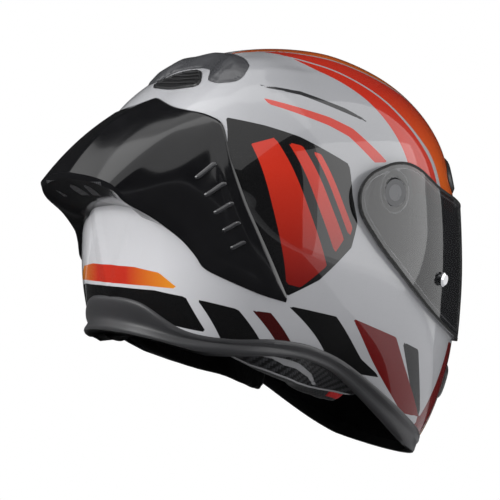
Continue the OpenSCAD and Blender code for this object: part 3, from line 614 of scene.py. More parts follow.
def visor_material():
    """Smoked plastic with a painted highlight, a fine pale line inside its edge."""
    g = Surface("visor_hard_coat")
    edge, haze = g.field("edge"), g.noise(18, 3)
    # Painted highlight: a pale line 4.6 to 5.3 mm in from the edge stands for light caught along the shield's
    # edge.
    line = g.times(g.step(edge, 4.6, 0.15), g.minus(1.0, g.step(edge, 5.3, 0.15)))
    tint = g.mix(haze, (0.018, 0.0185, 0.020), (0.026, 0.0265, 0.028))
    alpha = g.math("MAXIMUM", g.span(g.facing(0.35), 0.0, 1.0, 0.66, 0.95), g.times(line, 0.9))
    return g.done(Base_Color=g.mix(line, tint, (0.10, 0.10, 0.105)), Alpha=alpha, IOR=1.55,
        Roughness=g.uneven(haze, 0.025, 0.05), Normal=g.bump(g.noise(9, 2), 0.1, 0.0008), Coat_Weight=0.5,
        Coat_Roughness=0.01)


def clear_material(name, colour, alpha):
    g = Surface(name)
    haze = g.noise(30, 3)
    return g.done(Base_Color=g.tint(haze, colour, 0.08), Alpha=g.span(g.facing(0.4), 0, 1, alpha, 0.9),
        Roughness=g.uneven(haze, 0.04, 0.09))


def panel_material():
    """Twill weave under satin resin, with one pale stripe."""
    g = Surface("panel_twill")
    u, v, cell = g.field("along"), g.field("across"), 2.2
    u, v = g.math("DIVIDE", u, cell), g.math("DIVIDE", v, cell)

    def tow(place):
        return g.math("ABSOLUTE", g.minus(g.math("FRACT", place), 0.5))
    diagonal = g.math("FRACT", g.math("DIVIDE", g.plus(u, g.math("FLOOR", v)), 4.0))
    over = g.step(diagonal, 0.5, 0.06)
    height = g.minus(0.5, g.plus(g.times(tow(u), over), g.times(tow(v), g.minus(1.0, over))))
    dark = g.mix(over, (0.012, 0.012, 0.013), (0.055, 0.056, 0.060))
    stripe = g.step(g.field("stripe"), 0.0, 0.15)
    satin = g.mix(g.noise(400, 3), (0.30, 0.30, 0.31), (0.40, 0.40, 0.41))
    return g.done(Base_Color=g.mix(stripe, dark, satin), Roughness=g.span(stripe, 0, 1, 0.32, 0.42),
        Normal=g.bump(g.times(height, g.minus(1.0, stripe)), 0.7, 0.0004), Coat_Weight=0.35,
        Coat_Roughness=0.12)


def foam_material():
    g = Surface("beaded_foam")
    beads = g.made(g.node("ShaderNodeTexVoronoi"), g.place, 320, sockets=("Vector", "Scale"),
        out="Distance")
    return g.done(Base_Color=g.mix(beads, (0.075, 0.075, 0.08), (0.035, 0.035, 0.038)),
        Roughness=g.uneven(g.noise(300), 0.75, 0.9), Normal=g.bump(beads, 0.4, 0.0004))


def mesh_material():
    """Fine moulded mesh: rows of small round openings over a dark ground."""
    g = Surface("fine_mesh")
    x, y, z = g.xyz()
    a = g.math("SINE", g.times(g.plus(x, g.times(y, 0.5)), 2600))
    b = g.math("SINE", g.times(g.minus(z, g.times(y, 0.5)), 2600))
    hole = g.step(g.times(a, b), 0.15, 0.15)
    return g.done(Base_Color=g.mix(hole, (0.09, 0.09, 0.095), (0.004, 0.004, 0.004)),
        Roughness=g.uneven(g.noise(200), 0.4, 0.55), Normal=g.bump(g.minus(1.0, hole), 0.8, 0.0004))


MAT = {
    "shell_paint": shell_material(),
    "spoiler_black": spoiler_material(),
    "louvre_black": plastic("louvre_satin", (0.045, 0.045, 0.048), 0.20, coat=0.9, metallic=0.2),
    "smoked_window": mesh_material(),
    "vent_grey": plastic("vent_gloss_grey", (0.066, 0.067, 0.072), 0.30, coat=0.25, vary=0.08),
    "vent_black": plastic("vent_black", (0.014, 0.014, 0.015), 0.38, coat=0.1),
    "slider_grey": plastic("slider_grey", (0.05, 0.05, 0.052), 0.42),
    "mesh_black": mesh_material(),
    "impact_foam": foam_material(),
    "lining_fabric": cloth("lining_knit", (0.030, 0.030, 0.033)),
    "roll_fabric": cloth("roll_weave", (0.026, 0.026, 0.029), 1500, 0.00018, sheen=0.2),
    "panel_weave": panel_material(),
    "trim_rubber": plastic("trim_rubber", (0.042, 0.042, 0.045), 0.4, 700, 0.00008, vary=0.15, sheen=0.1),
    "seal_rubber": plastic("seal_rubber", (0.006, 0.006, 0.006), 0.50, 700, 0.00006, spec=0.2),
    "mechanism_grey": plastic("mechanism_grey", (0.11, 0.112, 0.118), 0.42, vary=0.1),
    "pivot_grey": plastic("pivot_grey", (0.12, 0.122, 0.128), 0.32),
    "visor_smoke": visor_material(),
    "bush_black": plastic("bush_black", (0.07, 0.071, 0.075), 0.36),
    "post_steel": plastic("post_chrome", (0.72, 0.72, 0.74), 0.07, 300, 0.00001, vary=0.05, metallic=1.0,
        rough_vary=0.03),
    "lens_clear": clear_material("lens_clear", (0.30, 0.31, 0.33), 0.12),
    "pin_plastic": plastic("pin_plastic", (0.30, 0.30, 0.31), 0.25, coat=0.5),
    "deflector_rubber": plastic("deflector_rubber", (0.015, 0.015, 0.015), 0.6),
    "curtain_fabric": cloth("curtain_knit", (0.022, 0.022, 0.024), 1300, 0.0002),
    "strap_webbing": cloth("strap_webbing", (0.024, 0.024, 0.026), 900, 0.0004, ribs=True),
    "rivet_steel": plastic("rivet_steel", (0.42, 0.42, 0.43), 0.28, 900, 0.00004, metallic=1.0),
    "tab_red": cloth("tab_tape", (0.55, 0.018, 0.020), 1200, 0.0002, vary=0.15, sheen=0.15),
}
PIPING = cloth("piping_cord", (0.30, 0.30, 0.31), 1600, 0.0001, vary=0.12, sheen=0.1)


def dress(obj, slot, *nodes, body="root", material=None):
    obj.data.materials.clear()
    obj.data.materials.append(material or MAT[slot])
    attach(obj, body)
    if nodes:
        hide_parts(*nodes)


slots = {s["node"]: s["material_slot"] for s in frame["record"]["subparts"]}
for node, obj in NODES.items():
    obj.data.materials.clear()
    obj.data.materials.append(MAT[slots[node]])

# The outer shell and its paint

# Colour bands: outlines in the side view as [forward, up], and outlines of [turn, lift] for the rear and
# the chin.
SIDE_BANDS = {
    "black": [
        [[-92, 60], [-80, 99], [-60, 93], [-39, 85], [-3, 65], [-2, 43], [2, 23], [-4, 5], [-30, -18],
            [-53, -29], [-78, -4], [-88, 40]],
        [[-107, -31], [-84, -38], [-56, -70], [-85, -68]],
        [[-51, -36], [-7, -46], [38, -82], [66, -99], [20, -90]],
        [[71, -70], [93, -78], [128, -140], [112, -126]],
    ],
    "red": [
        [[-73, 80], [-57, 84.5], [-25, -8], [-44, -23], [-55, -20]],
        [[-49, 81], [-39, 78.5], [-11, 11], [-19, 1]],
        [[-32, 74.5], [-26, 72.5], [-3, 19], [-6, 12]],
        [[-52, 113], [-8, 99], [9, 91], [36, 66], [22, 66], [3, 85], [-12, 93], [-51, 108.5]],
        [[9, -48], [62, -66], [124, -136], [100, -130]],
    ],
    "dusk": [
        [[-75, -39], [-62, -41], [-22, -80], [-42, -72]],
    ],
    "line": [
        [[-48, 123], [-21, 118], [10, 106], [26, 97], [27, 95], [7, 103], [-23, 115.3], [-47, 121]],
    ],
}
ROUND_BANDS = {
    "black": [
        [[181, -10.4], [160, -10.8], [149, -12.6], [143, -24], [160, -20], [181, -18]],
        [[14, -28], [-1, -30], [-1, -54], [9, -54]],
    ],
    "red": [
        [[26, -26], [19, -26], [13, -54], [20, -54]],
    ],
    "amber": [
        [[181, -3.8], [168, -4.0], [158, -5.4], [151, -10.2], [162, -9.6], [181, -9.4]],
        [[17.5, -26], [15.5, -26], [10.5, -54], [12, -54]],
    ],
}
# Millimetres over the shell to one degree.
PER_DEGREE = 2.2


def brow_place(p):
    """The crown stripes' own place across the helmet. The stripes draw together towards the rear."""
    taper = 0.3 + 0.7 * smooth((-p[..., 1] + 30) / 120)
    return np.abs(p[..., 0]) / taper, taper


def brow_field(turn, lift, p):
    across, taper = brow_place(p)
    s = np.minimum(across - 20, 126 - across) * taper
    s = np.minimum(s, (-p[..., 1] + 40 - 0.42 * across) * 0.9)
    for place in (STRIPE_IN, STRIPE_OUT):
        s = np.minimum(s, np.abs(across - place) * taper - 1.4)
    return np.where(p[..., 2] > 20, s, -9)


def band_field(name):
    def field(turn, lift, p):
        t = fold(turn)
        best = np.full(t.shape, -99.0)
        f, z = side_view(p)
        for o in SIDE_BANDS.get(name, []):
            best = np.maximum(best, inside_of(f, z, o))
        if name == "line":
            side = np.abs(p[..., 0])
            mouth = np.maximum(inside_of(side, z, BROW_MOUTH), inside_of(side, z, CHIN_MOUTH)) + 4
            best = np.where(f > 40, np.maximum(best, mouth), best)
        for o in ROUND_BANDS.get(name, []):
            o = np.array(o, float)
            k = PER_DEGREE * math.cos(math.radians(float(np.mean(o[:, 1]))))
            best = np.maximum(best, inside_of(t * k, lift * PER_DEGREE, o * [k, PER_DEGREE]))
        return best
    return field


def crown_creases(turn, lift):
    """Two soft raised lines that run from the rear cover forward over the crown."""
    t = fold(turn)
    way = np.abs(lift - (64 - 0.0016 * (t - 105) ** 2)) / 2.2
    ends = smooth((t - 70) / 25) * smooth((142 - t) / 25) * smooth((74 - lift) / 5)
    return 0.6 * np.exp(-way ** 2) * ends


def rear_crease(turn, lift):
    """A raised fold down the rear plate, on either side."""
    off = np.abs(fold(turn) - 178 + 0.49 * (lift + 9))
    return np.clip(1 - off / 4.5, 0, 1) * smooth((20 - lift) / 6)


def shell_height(t, l, s):
    h = crown_creases(t, l) * smooth((l - 40) / 10) + rear_crease(t, l)
    return h - 0.5 * (1 - smooth(s / 1.2))


port_line, visor_line, lens_line, brow_mouth, chin_mouth = (
    rounded(o) for o in (PORT, VISOR, LENS, BROW_MOUTH, CHIN_MOUTH))


def shell_inside(t, l, p):
    f, z = side_view(p)
    side = np.abs(p[..., 0])
    seat = (round_key(TRIM_TOP, t) + round_key(TRIM_BOTTOM, t)) / 2
    s = np.minimum((l - seat) * PER_DEGREE, -inside_of(f, z, port_line))
    s = np.minimum(s, from_pivot(p) - BASE_HOLE)
    mouths = np.minimum(3 - inside_of(side, z, brow_mouth), 2 - inside_of(side, z, chin_mouth))
    return np.where(f > 40, np.minimum(s, mouths), s)


shell_fields = {k: band_field(k) for k in {**SIDE_BANDS, **ROUND_BANDS}}
shell_fields.update(brow=brow_field, across=lambda t, l, p: brow_place(p)[0], up=lambda t, l, p: p[..., 2],
    turn=lambda t, l, p: fold(t))
shell = patch("shell", (0, 360, 1.2), (-55, 89, 1.2), shell_inside, shell_height, level(SKIN_IN),
    wrap=True, pole=True, fields=shell_fields)
dress(shell, "shell_paint", "outer_shell")


# The shield, its lens and the port seal
def in_shield(p):
    return inside_of(*side_view(p), visor_line)


def shield_level(height):
    return lambda t, l, s: height + flare(l)


visor = patch("visor_shield", (-96, 96.1, 0.75), (-33, 36, 0.75),
    lambda t, l, p: np.minimum(in_shield(p), from_pivot(p) - BUSH_HOLE),
    lambda t, l, s: 4.8 + flare(l) - 0.5 * (1 - smooth(s / 1.2)), shield_level(2.6), at=4.0)
dress(visor, "visor_smoke", "visor", body="visor")
# Painted shade: a dark band laid over the shield's edge where the edge shows dark; the shield itself has no such
# band.
edge_shade_band = patch("visor_edge_shade_band", (-92, 92.1, 0.6), (-33, 36, 0.6),
    lambda t, l, p: np.minimum(in_shield(p) + 0.2, 1.8 - in_shield(p)),
    lambda t, l, s: 5.0 + flare(l) + 0.25 * smooth(s / 1.2), shield_level(4.75), at=4.8)
dress(edge_shade_band, "seal_rubber", body="visor")
lens = patch("inner_lens", (-48, 48.1, 1), (-22, 12, 1),
    lambda t, l, p: inside_of(*side_view(p), lens_line), shield_level(2.3), shield_level(1.1), at=2.0)
dress(lens, "lens_clear", "pinlock_lens", body="visor")


def seal_inside(t, l, p):
    s = inside_of(*side_view(p), port_line)
    return np.minimum(s - GAP, 4 + GAP - s)


seal = patch("port_seal", (-72, 72.1, 0.6), (-46, 34, 0.6), seal_inside,
    lambda t, l, s: 1.4 - 1.1 * (1 - np.clip(s / 2, 0, 1)) ** 2, level(TRIM_IN))
dress(seal, "seal_rubber", "eye_port_seal")


# Mechanism plates under the shield
def plate_inside(t, l, p):
    f, z = side_view(p)
    s = 27 * (1 - np.hypot((f - 39) / 27, (z - 30) / 36.45))
    return np.minimum(np.minimum(s, in_shield(p) - 6), np.minimum(56 - f, from_pivot(p) - BASE_HOLE))


def plate_height(t, l, s):
    p = skin(t, l, 1)
    f, z = side_view(p)
    rings = sum(0.3 * smooth((1.1 - np.abs(from_pivot(p) - r)) / 0.6) for r in (18.2, 24.5))
    low_boss = 0.35 * smooth((4.2 - np.abs(np.hypot(f - 33, z - 12) - 6)) / 0.8)
    slot = -0.35 * smooth((1.2 - np.abs(np.hypot(f - 48, z - 26) - 9)) / 0.7)
    return 0.95 + rings + low_boss + slot - 0.5 * (1 - smooth(s / 1.0))


for side, name in SIDES:
    plate = patch(f"mechanism_cover_{name}", (78 * side - 32, 78 * side + 34, 0.6), (-8, 34, 0.6),
        plate_inside, plate_height, level(GAP))
    dress(plate, "mechanism_grey", f"mechanism_plate_{name}")


# Vents
def top_view_inside(outline):
    line = rounded(mirrored(outline), 1)
    return lambda t, l, p: np.where(p[..., 2] > 0, inside_of(p[..., 0], -p[..., 1], line), -9)


def cover_height(t, l, s):
    side = np.abs(skin(t, l)[..., 0])
    hump = 2.5 * smooth(s / 11) + 0.9 * np.clip(1 - side / 16, 0, 1) * smooth(s / 8)
    crease = 0.8 * np.clip(1 - np.abs(side - 30) / 9, 0, 1) * smooth(s / 6)
    return np.minimum(GAP + 0.9 * smooth(s / 1.6) + hump * 0.9 + crease, 5)


cover = patch("rear_top_cover", (0, 360, 1.5), (52, 89.5, 0.6), top_view_inside(TOP_VENT),
    cover_height, level(GAP), wrap=True)
dress(cover, "vent_grey", "top_vent_cover")


def over_crown(x, y, height):
    """The point at a height over the shell that lies at x and y."""
    turn, lift = np.degrees(np.arctan2(-x, -y)), np.full(np.shape(x), 60.0)
    for _ in range(20):
        lift = np.degrees(np.arccos(np.clip(np.hypot(x, y) / (radius(turn, lift) + height), 0, 1)))
    return skin(turn, lift, height)


grille = patch("rear_top_grille", (150, 210.1, 0.8), (54, 74, 0.4), top_view_inside(TOP_GRILLE),
    lambda t, l, s: 0.4 + 0.5 * smooth(s / 1.2) + 0.9 * (1 - smooth((s - 1.6) / 0.9)) * smooth(s / 0.8),
    level(GAP))
dress(grille, "vent_black", "top_vent_grille")
for k, (back_by, half) in enumerate(((59.5, 12), (63.8, 19), (68.1, 24.5), (72.4, 25.5))):
    across = np.linspace(-half, half, 41)
    fin = rope(f"rear_top_fin_{k + 1}", over_crown(across, np.full(41, back_by), 1.3), 0.75, 8)
    dress(fin, "vent_black")


def front_frame(outline, mouth, up, above):
    """Inside the frame's outline, and outside its mouth and the slider's slot round the height up."""
    line = rounded(mirrored(outline))

    def inside(t, l, p):
        x, z = p[..., 0], p[..., 2]
        s = np.minimum(inside_of(x, z, line), -inside_of(np.abs(x), z, mouth))
        s = np.where(p[..., 1] < 0, s, -9)
        return np.minimum(s, np.maximum(np.abs(x) - 12.4, np.maximum(up - 4.9 - z, z - up - above)))
    return inside


brow = patch("brow_intake", (-46, 46.1, 0.6), (10, 34, 0.5),
    front_frame(BROW_VENT, brow_mouth, 56, 9.7), lambda t, l, s: 0.5 + 1.9 * smooth(s / 3.2), level(GAP))
dress(brow, "vent_black", "brow_vent_frame")
chin = patch("chin_intake", (-22, 22.1, 0.35), (-48, -26, 0.35),
    front_frame(CHIN_VENT, chin_mouth, -108, 10.9), lambda t, l, s: 0.5 + 2.3 * smooth(s / 3), level(GAP))
dress(chin, "vent_black", "chin_vent_frame")

# Rear spoiler
SUB, TOP_STEPS, SPOILER_REACH = 10, 18, 44
NEAR = np.array([0, 0.7, 1.5, 2.5, 4, 6, 8.5])


def spoiler_section(seam, edge, body):
    turn, lift, share = edge
    reach, lip = share * SPOILER_REACH, 4 * (0.4 + 0.6 * share)
    half_lip = math.degrees(lip / 2 / (REAR_REACH + reach))
    under = lift - half_lip - 3 * share
    return [skin(*seam, -2), skin(*seam, 2.2), skin((seam[0] + turn) / 2, (seam[1] + lift) / 2, body),
        skin(turn, lift + half_lip, reach), skin(turn, lift - half_lip, reach - lip / 2),
        skin(turn, under, reach * 0.35), skin(turn, under, -2)]


def spoiler_loop(k, n, points):
    """The full section at key k: seam, face with its crest and pocket, lip and underside."""
    root, a, b, c, d, e, f = points
    length = np.linalg.norm(c - a)
    close = NEAR * min(1.0, length / 34)
    along = np.concatenate([close, np.linspace(close[-1], length - close[-1], TOP_STEPS)[1:-1],
        (length - close)[::-1]])
    w = (along / length)[:, None]
    face = (1 - w) ** 2 * a + 2 * w * (1 - w) * (2 * b - (a + c) / 2) + w ** 2 * c
    crest = 1.2 * max(0, 1 - k / 0.9) * np.sin(w[:, 0] * math.pi)
    pocket = -1.5 * smooth((k - 3.4) / 1.4) * smooth((along - 11) / 6) * smooth((length - along - 5) / 9)
    seam_roll = -0.9 * (1 - smooth(along / 2.2))
    face = face + (crest + pocket + seam_roll)[:, None] * n
    inner = [d + (e - d) * t for t in (0.06, 0.3, 0.6)] + [e, e + (f - e) * 0.5, f]
    return np.concatenate([[root], face, [face[-1] + (d - face[-1]) * 0.15, d], inner])


keys = np.array([spoiler_section(*row) for row in zip(SEAM, EDGE, BODY)])
steps = (np.arange(SUB) / SUB)[:, None, None]
stations = np.concatenate([a + (b - a) * steps for a, b in zip(keys, keys[1:])] + [keys[-1:]])
stations = blurred(stations, 14)
ways = np.cross(stations[:, 3] - stations[:, 1], np.gradient(stations[:, 2] + stations[:, 3], axis=0))
ways /= np.linalg.norm(ways, axis=1, keepdims=True) + 1e-9
ways *= np.where((ways * stations[:, 2]).sum(1) < 0, -1, 1)[:, None]
ways = blurred(ways, 10)
ways /= np.linalg.norm(ways, axis=1, keepdims=True)
sections = np.array([spoiler_loop(i / SUB, n, p) for i, (n, p) in enumerate(zip(ways, stations))])
whole = np.concatenate([sections[:0:-1] * [-1, 1, 1], sections])
spoiler = tube_loft("rear_spoiler_body", whole, crease=34)
dress(spoiler, "spoiler_black", "rear_spoiler")
tree = BVHTree.FromPolygons([Vector(p) for p in whole.reshape(-1, 3)], quads(*whole.shape[:2]))


def rib_ring(k, s):
    """A louvre bar's section at share s of its reach, on the spoiler's flank."""
    reach, angle = 9 - k, math.radians(40 - 2 * k)
    mid_f, mid_z = -102 + 3.2 * k - 0.5 * (reach - 6), 61 - 13.2 * k
    end = math.sqrt(max(0.0, 1 - max(0, (abs(s) * reach - reach + 1.9) / 1.9) ** 2))
    ring = []
    for w in np.arange(12) * 2 * math.pi / 12:
        across, rise = 1.5 * math.cos(w) * max(end, 0.08), math.sin(w)
        f = mid_f + s * reach * math.cos(angle) - across * math.sin(angle)
        z = mid_z + s * reach * math.sin(angle) + across * math.cos(angle)
        hit = tree.ray_cast(Vector((-400, -f, z)), Vector((1, 0, 0)))[0]
        ring.append(np.array(hit) - [1.45 * rise * end + 0.1 if rise > 0 else -0.8, 0, 0])
    return ring


ribs = [np.array([rib_ring(k, s) for s in np.linspace(-1, 1, 17)]) for k in range(5)]
for side, name in SIDES:
    for k, loops in enumerate(ribs):
        rib = tube_loft(f"louvre_{name}_{k + 1}", loops * [side, 1, 1], crease=60)
        dress(rib, "louvre_black", *(["spoiler_louvres"] if side > 0 and k == 0 else []))


# Edge trim
def trim_profile(turn):
    """The trim's section: a hollow face over a rolled bead, which flares into a lip at the rear."""
    top, bottom = round_key(TRIM_TOP, turn), round_key(TRIM_BOTTOM, turn)
    rear = float(smooth((fold(turn) - 100) / 50))
    bead, hollow, lip = 2.4 + 2.8 * rear, 1.6 - 0.2 * rear, bottom + 1.8 * rear

    def between(w):
        return top + (lip + 2.2 - top) * w
    shape = [(0.1, top + 0.5), (0.7, top + 0.4), (1.4, top), (1.9, top - 0.6), (2.0, between(0.2)),
        (2.0, between(0.34)), (hollow + 0.3, between(0.5)), (hollow, between(0.68)),
        (hollow + 0.3, between(0.84)), (hollow + 0.6 + 1.2 * rear, between(0.95)),
        (bead + 0.2, lip + 1.9), (bead + 1.0, lip + 1.4), (bead + 1.35, lip + 0.8),
        (bead + 1.2, lip + 0.25), (bead + 0.5, lip - 0.1), (bead - 0.3, lip + 0.05),
        (bead - 0.6, lip - 0.1), (bead - 0.7 - rear, lip - 0.5), (bead - 1.3 - 2 * rear, bottom - 0.75),
        (0, bottom - 0.8), (-2.4, bottom - 0.75), (TRIM_IN + 1, bottom - 0.4), (TRIM_IN, bottom + 0.8),
        (TRIM_IN, top + 2.6), (SKIN_IN, top + 2.6), (SKIN_IN, top)]
    return grounded([skin(turn, lift, h) for h, lift in shape])


trim = tube_loft("edge_trim_rubber", [trim_profile(t) for t in np.arange(0, 360, 1.5)], closed=True,
    crease=50)
dress(trim, "trim_rubber", "edge_trim")

# Padding under the trim

# How far the panel and the pad hang from the shell's edge to the ground, as [turn, share].
PANEL_SHARE = [[45.5, 0.1], [52, 0.3], [60, 0.46], [68, 0.58], [80, 0.68], [97, 0.75], [114, 0.76],
    [130, 0.72], [136, 0.55], [141, 0.1]]
PAD_SHARE = [[45.5, 0.3], [48, 0.55], [52, 0.65], [60, 0.68], [75, 0.73], [97, 0.79], [114, 0.80],
    [128, 0.76], [135, 0.66], [141, 0.25]]
COVER = 1.3 * 2 + 2 * GAP
PANEL_IN = 19
UP_DOWN = np.linspace(0, 1, 9)


def lookup(turn, table):
    table = np.asarray(table, float)
    return float(np.interp(turn, table[:, 0], table[:, 1]))


def inward(turn):
    a = math.radians(turn)
    return np.array([math.sin(a), math.cos(a), 0])


def hang(turn, by, share, clear=2.0):
    """The point inward of the shell's edge that hangs a share of the way to the ground."""
    q = skin(turn, round_key(TRIM_BOTTOM, turn) - 0.5, TRIM_IN - GAP) + by * inward(turn)
    return q - [0, 0, share * (over_ground(q) - clear) / COS]


def drawn_in(ring, turn, first, last, share):
    """A cushion's section, drawn towards its middle over the last 5 degrees at either end."""
    out = min(turn - first, last - turn)
    centre = ring.mean(0)
    return centre + (ring - centre) * (1 - share * max(0.0, 1 - out / 5) ** 2)


def pad_ring(turn):
    edge = float(round_key(TRIM_BOTTOM, turn))
    top = float(round_key(CHIN_TOP, turn)) - 1
    along = (2 * turn - PAD_FROM - PAD_TO) / (PAD_TO - PAD_FROM)
    draw = 1 - 0.3 * abs(along) ** 4
    middle, mid_lift = (PAD_OUT + PAD_IN) / 2, (top + edge) / 2
    share, cover = lookup(turn, PAD_SHARE), lookup(turn, PANEL_SHARE)
    held = min(share, cover)

    def face(share):
        return COVER + PANEL_IN * min(share, cover) + 5 * max(0, share - cover) / (1 - cover)
    ring = [skin(turn, l, PAD_OUT) for l in (top - 4, top - 12, mid_lift, edge + 4)]
    ring += [hang(turn, COVER, 0), hang(turn, face(held), held), hang(turn, face(share), share),
        hang(turn, face(share) + 19 * draw, 0.97 * share)]
    for h, l in ((PAD_IN + 1, edge + 4), (PAD_IN - 1, mid_lift - 4), (PAD_IN, top - 10),
            (PAD_IN + 7, top - 2), (middle, top), (PAD_OUT - 5, top)):
        ring.append(skin(turn, l, middle + (h - middle) * (draw if h < middle else 1)))
    return drawn_in(smooth_line(ring, 4, closed=True), turn, PAD_FROM, PAD_TO, 0.16)


def evaluated(obj):
    return obj.evaluated_get(bpy.context.evaluated_depsgraph_get())


def applied(obj):
    """Gives the object its evaluated mesh for good."""
    mesh = bpy.data.meshes.new_from_object(evaluated(obj))
    obj.modifiers.clear()
    obj.data = mesh
    return mesh


def cushion(name, loops, swell, hold, frames=20):
    """A crowned cushion: its skin is blown up a little by a cloth simulation, and held back near what it
    rests on."""
    obj = tube_loft(name, loops, crease=80)
    loft = obj.data
    remesh = obj.modifiers.new("remesh", "REMESH")
    remesh.mode = "VOXEL"
    remesh.voxel_size = 0.0045
    remesh.use_smooth_shade = True
    bpy.context.view_layer.update()
    mesh = applied(obj)
    rest = np.array([v.co for v in mesh.vertices])
    skin_cloth = obj.modifiers.new("cloth", "CLOTH")
    for key, value in dict(quality=5, mass=0.15, use_pressure=True, uniform_pressure_force=4.0,
            tension_stiffness=25, compression_stiffness=25, bending_stiffness=0.5).items():
        setattr(skin_cloth.settings, key, value)
    skin_cloth.settings.effector_weights.gravity = 0
    skin_cloth.collision_settings.use_collision = False
    skin_cloth.point_cache.frame_start = 1
    skin_cloth.point_cache.frame_end = frames
    for number in range(1, frames + 1):
        bpy.context.scene.frame_set(number)
    blown = evaluated(obj)
    move = np.array([v.co for v in blown.to_mesh().vertices]) - rest
    blown.to_mesh_clear()
    obj.modifiers.clear()
    bpy.context.scene.frame_set(1)
    far = np.linalg.norm(move, axis=1)
    cap = swell / 1000
    move *= (np.tanh(far / cap) * cap / np.maximum(far, 1e-9) * hold(rest))[:, None]
    mesh.vertices.foreach_set("co", (rest + move).astype(np.float32).ravel())
    mesh.update()
    sub = obj.modifiers.new("subdivision", "SUBSURF")
    sub.levels = sub.render_levels = 1
    shade_smooth(applied(obj))
    bpy.data.meshes.remove(loft)
    return obj


def pad_hold(points):
    """How freely the pad's skin may swell: hardly against the foam behind it and the panel under it."""
    x = np.abs(points[:, 0]) * 1000
    return 0.1 + 0.9 * smooth((82 - x) / 16)


pad_rings = [pad_ring(t) for t in np.linspace(PAD_FROM, PAD_TO, 61)]
pad = cushion("cheek_cushion_right", pad_rings, 3.5, pad_hold)
dress(pad, "lining_fabric", "cheek_pad_right")
mirrored_mesh = pad.data.copy()
mirrored_mesh.transform(Matrix.Scale(-1, 4, (1, 0, 0)))
mirrored_mesh.flip_normals()
other = put("cheek_cushion_left", mirrored_mesh)
dress(other, "lining_fabric", "cheek_pad_left")

pad_tree = BVHTree.FromPolygons([v.co for v in pad.data.vertices],
    [p.vertices for p in pad.data.polygons])


def pad_reach(turn, share):
    """Where a level line from outside meets the pad's outer face: its start, its way and its length."""
    start, way = hang(turn, -20, share), inward(turn)
    return start, way, pad_tree.ray_cast(Vector(stand(start)), Vector(stand_way(way)))[3]


def tab_ring(turn):
    """The tape's section, on the pad's outer face just over the pad's low edge."""
    shares = np.linspace(1, 0.1, 46) * lookup(turn, PAD_SHARE)
    lowest = next(s for s in shares if pad_reach(turn, s)[2] is not None)
    ring = []
    for share, off in ((0.17, -0.3), (0.16, 1.0), (0.10, 1.4), (0.04, 1.0), (0.03, -0.3)):
        start, way, length = pad_reach(turn, lowest - share)
        ring.append(start + way * (length * 1000 - off))
    return ring


tab_loops = blurred([tab_ring(t) for t in np.linspace(47.5, 58, 22)], 6)
for side, name in SIDES:
    tab = tube_loft(f"emergency_tab_tape_{name}", tab_loops * [side, 1, 1], crease=50)
    dress(tab, "tab_red", f"emergency_tab_{name}")


def panel_ring(turn):
    """The panel's section: down its outer face and up its inner one."""
    cover = lookup(turn, PANEL_SHARE)
    return [hang(turn, PANEL_IN * cover * s + thick - 1.2 * math.sin(math.pi * s), cover * s, 2.6)
        for thick, shares in ((0, UP_DOWN), (2.2, UP_DOWN[::-1])) for s in shares]


STRIPE = [[16, 0.16], [34, 0.34], [60, 0.42], [84, 0.60], [104, 0.93], [97, 0.94], [80, 0.74], [58, 0.62],
    [46, 0.62], [40, 0.52], [26, 0.40]]
STRIPE_SCALE = 30
loops = np.array([panel_ring(t) for t in np.linspace(46.5, 140, 90)])
line = np.concatenate([[0], np.cumsum(np.linalg.norm(np.diff(loops[:, 0], axis=0), axis=1))])
u = np.repeat(line[::-1], 18)
share = np.tile(np.concatenate([UP_DOWN, UP_DOWN[::-1]]), len(loops))
depth = np.repeat(np.linalg.norm(loops[:, 8] - loops[:, 0], axis=1), 18)
stripe = inside_of(u, share * STRIPE_SCALE, np.array(STRIPE) * [1, STRIPE_SCALE])
edge = blurred([hang(t, PANEL_IN * lookup(t, PANEL_SHARE) + 0.4, lookup(t, PANEL_SHARE) * 1.01, 2.2)
    for t in np.linspace(47.5, 139, 120)], 4)
for side, name in SIDES:
    panel = tube_loft(f"cheek_panel_{name}", loops * [side, 1, 1], crease=50)
    for key, values, at_ends in (("along", u, 0), ("across", share * depth, 0), ("stripe", stripe, -9)):
        set_attribute(panel, key, np.concatenate([values, [at_ends] * 2]))
    dress(panel, "panel_weave", f"pad_panel_{name}")
    dress(rope(f"piping_{name}", edge * [side, 1, 1], 0.8), "lining_fabric", material=PIPING)

# Neck roll
ROLL_FROM, ROLL_TO = PAD_TO + 1.2, 360 - PAD_TO - 1.2


def roll_ring(turn):
    edge, top = float(round_key(TRIM_BOTTOM, turn)), float(round_key(EPS_EDGE, turn)) - 1.6
    out = TRIM_IN - 1.6
    inn = out - 28
    shape = [(out, edge + 3), (out, edge - 1), (out - 4, edge - 4.5), (out - 12, edge - 6),
        (inn + 7, edge - 4), (inn + 1, edge + 2), (inn, (top + edge) / 2), (inn + 3, top - 2),
        (inn + 7, top), (out - 4, top)]
    ring = smooth_line(grounded([skin(turn, l, h) for h, l in shape], 2), 4, closed=True)
    return drawn_in(ring, turn, ROLL_FROM, ROLL_TO, 0.14)


def roll_hold(points):
    """How freely the roll's skin may swell: hardly against the shell behind it."""
    return 0.15 + 0.85 * smooth((0.105 - np.hypot(points[:, 0], points[:, 1])) / 0.02)


roll_rings = [roll_ring(t) for t in np.linspace(ROLL_FROM, ROLL_TO, 49)]
roll = cushion("neck_roll_cushion", roll_rings, 2.5, roll_hold)
dress(roll, "roll_fabric", "neck_roll")


# Comfort liner
def liner_inside(t, l, p):
    over_edge = (l - round_key(EPS_EDGE, t) - 7.4) * 1.9
    return np.minimum(over_edge, -inside_of(*side_view(p), port_line) - 5.6)


def liner_quilt(t, l, s):
    """Quilted fields between seams at each 36 degrees of turn and 28 of lift."""
    seams = np.minimum(np.abs(np.mod(t + 9, 36) - 18) * 1.2 * np.cos(np.radians(np.minimum(l, 80))),
        np.abs(np.mod(l + 4, 28) - 14) * 1.4)
    return -40.6 - 2.2 * smooth(seams / 7) * smooth(s / 6)


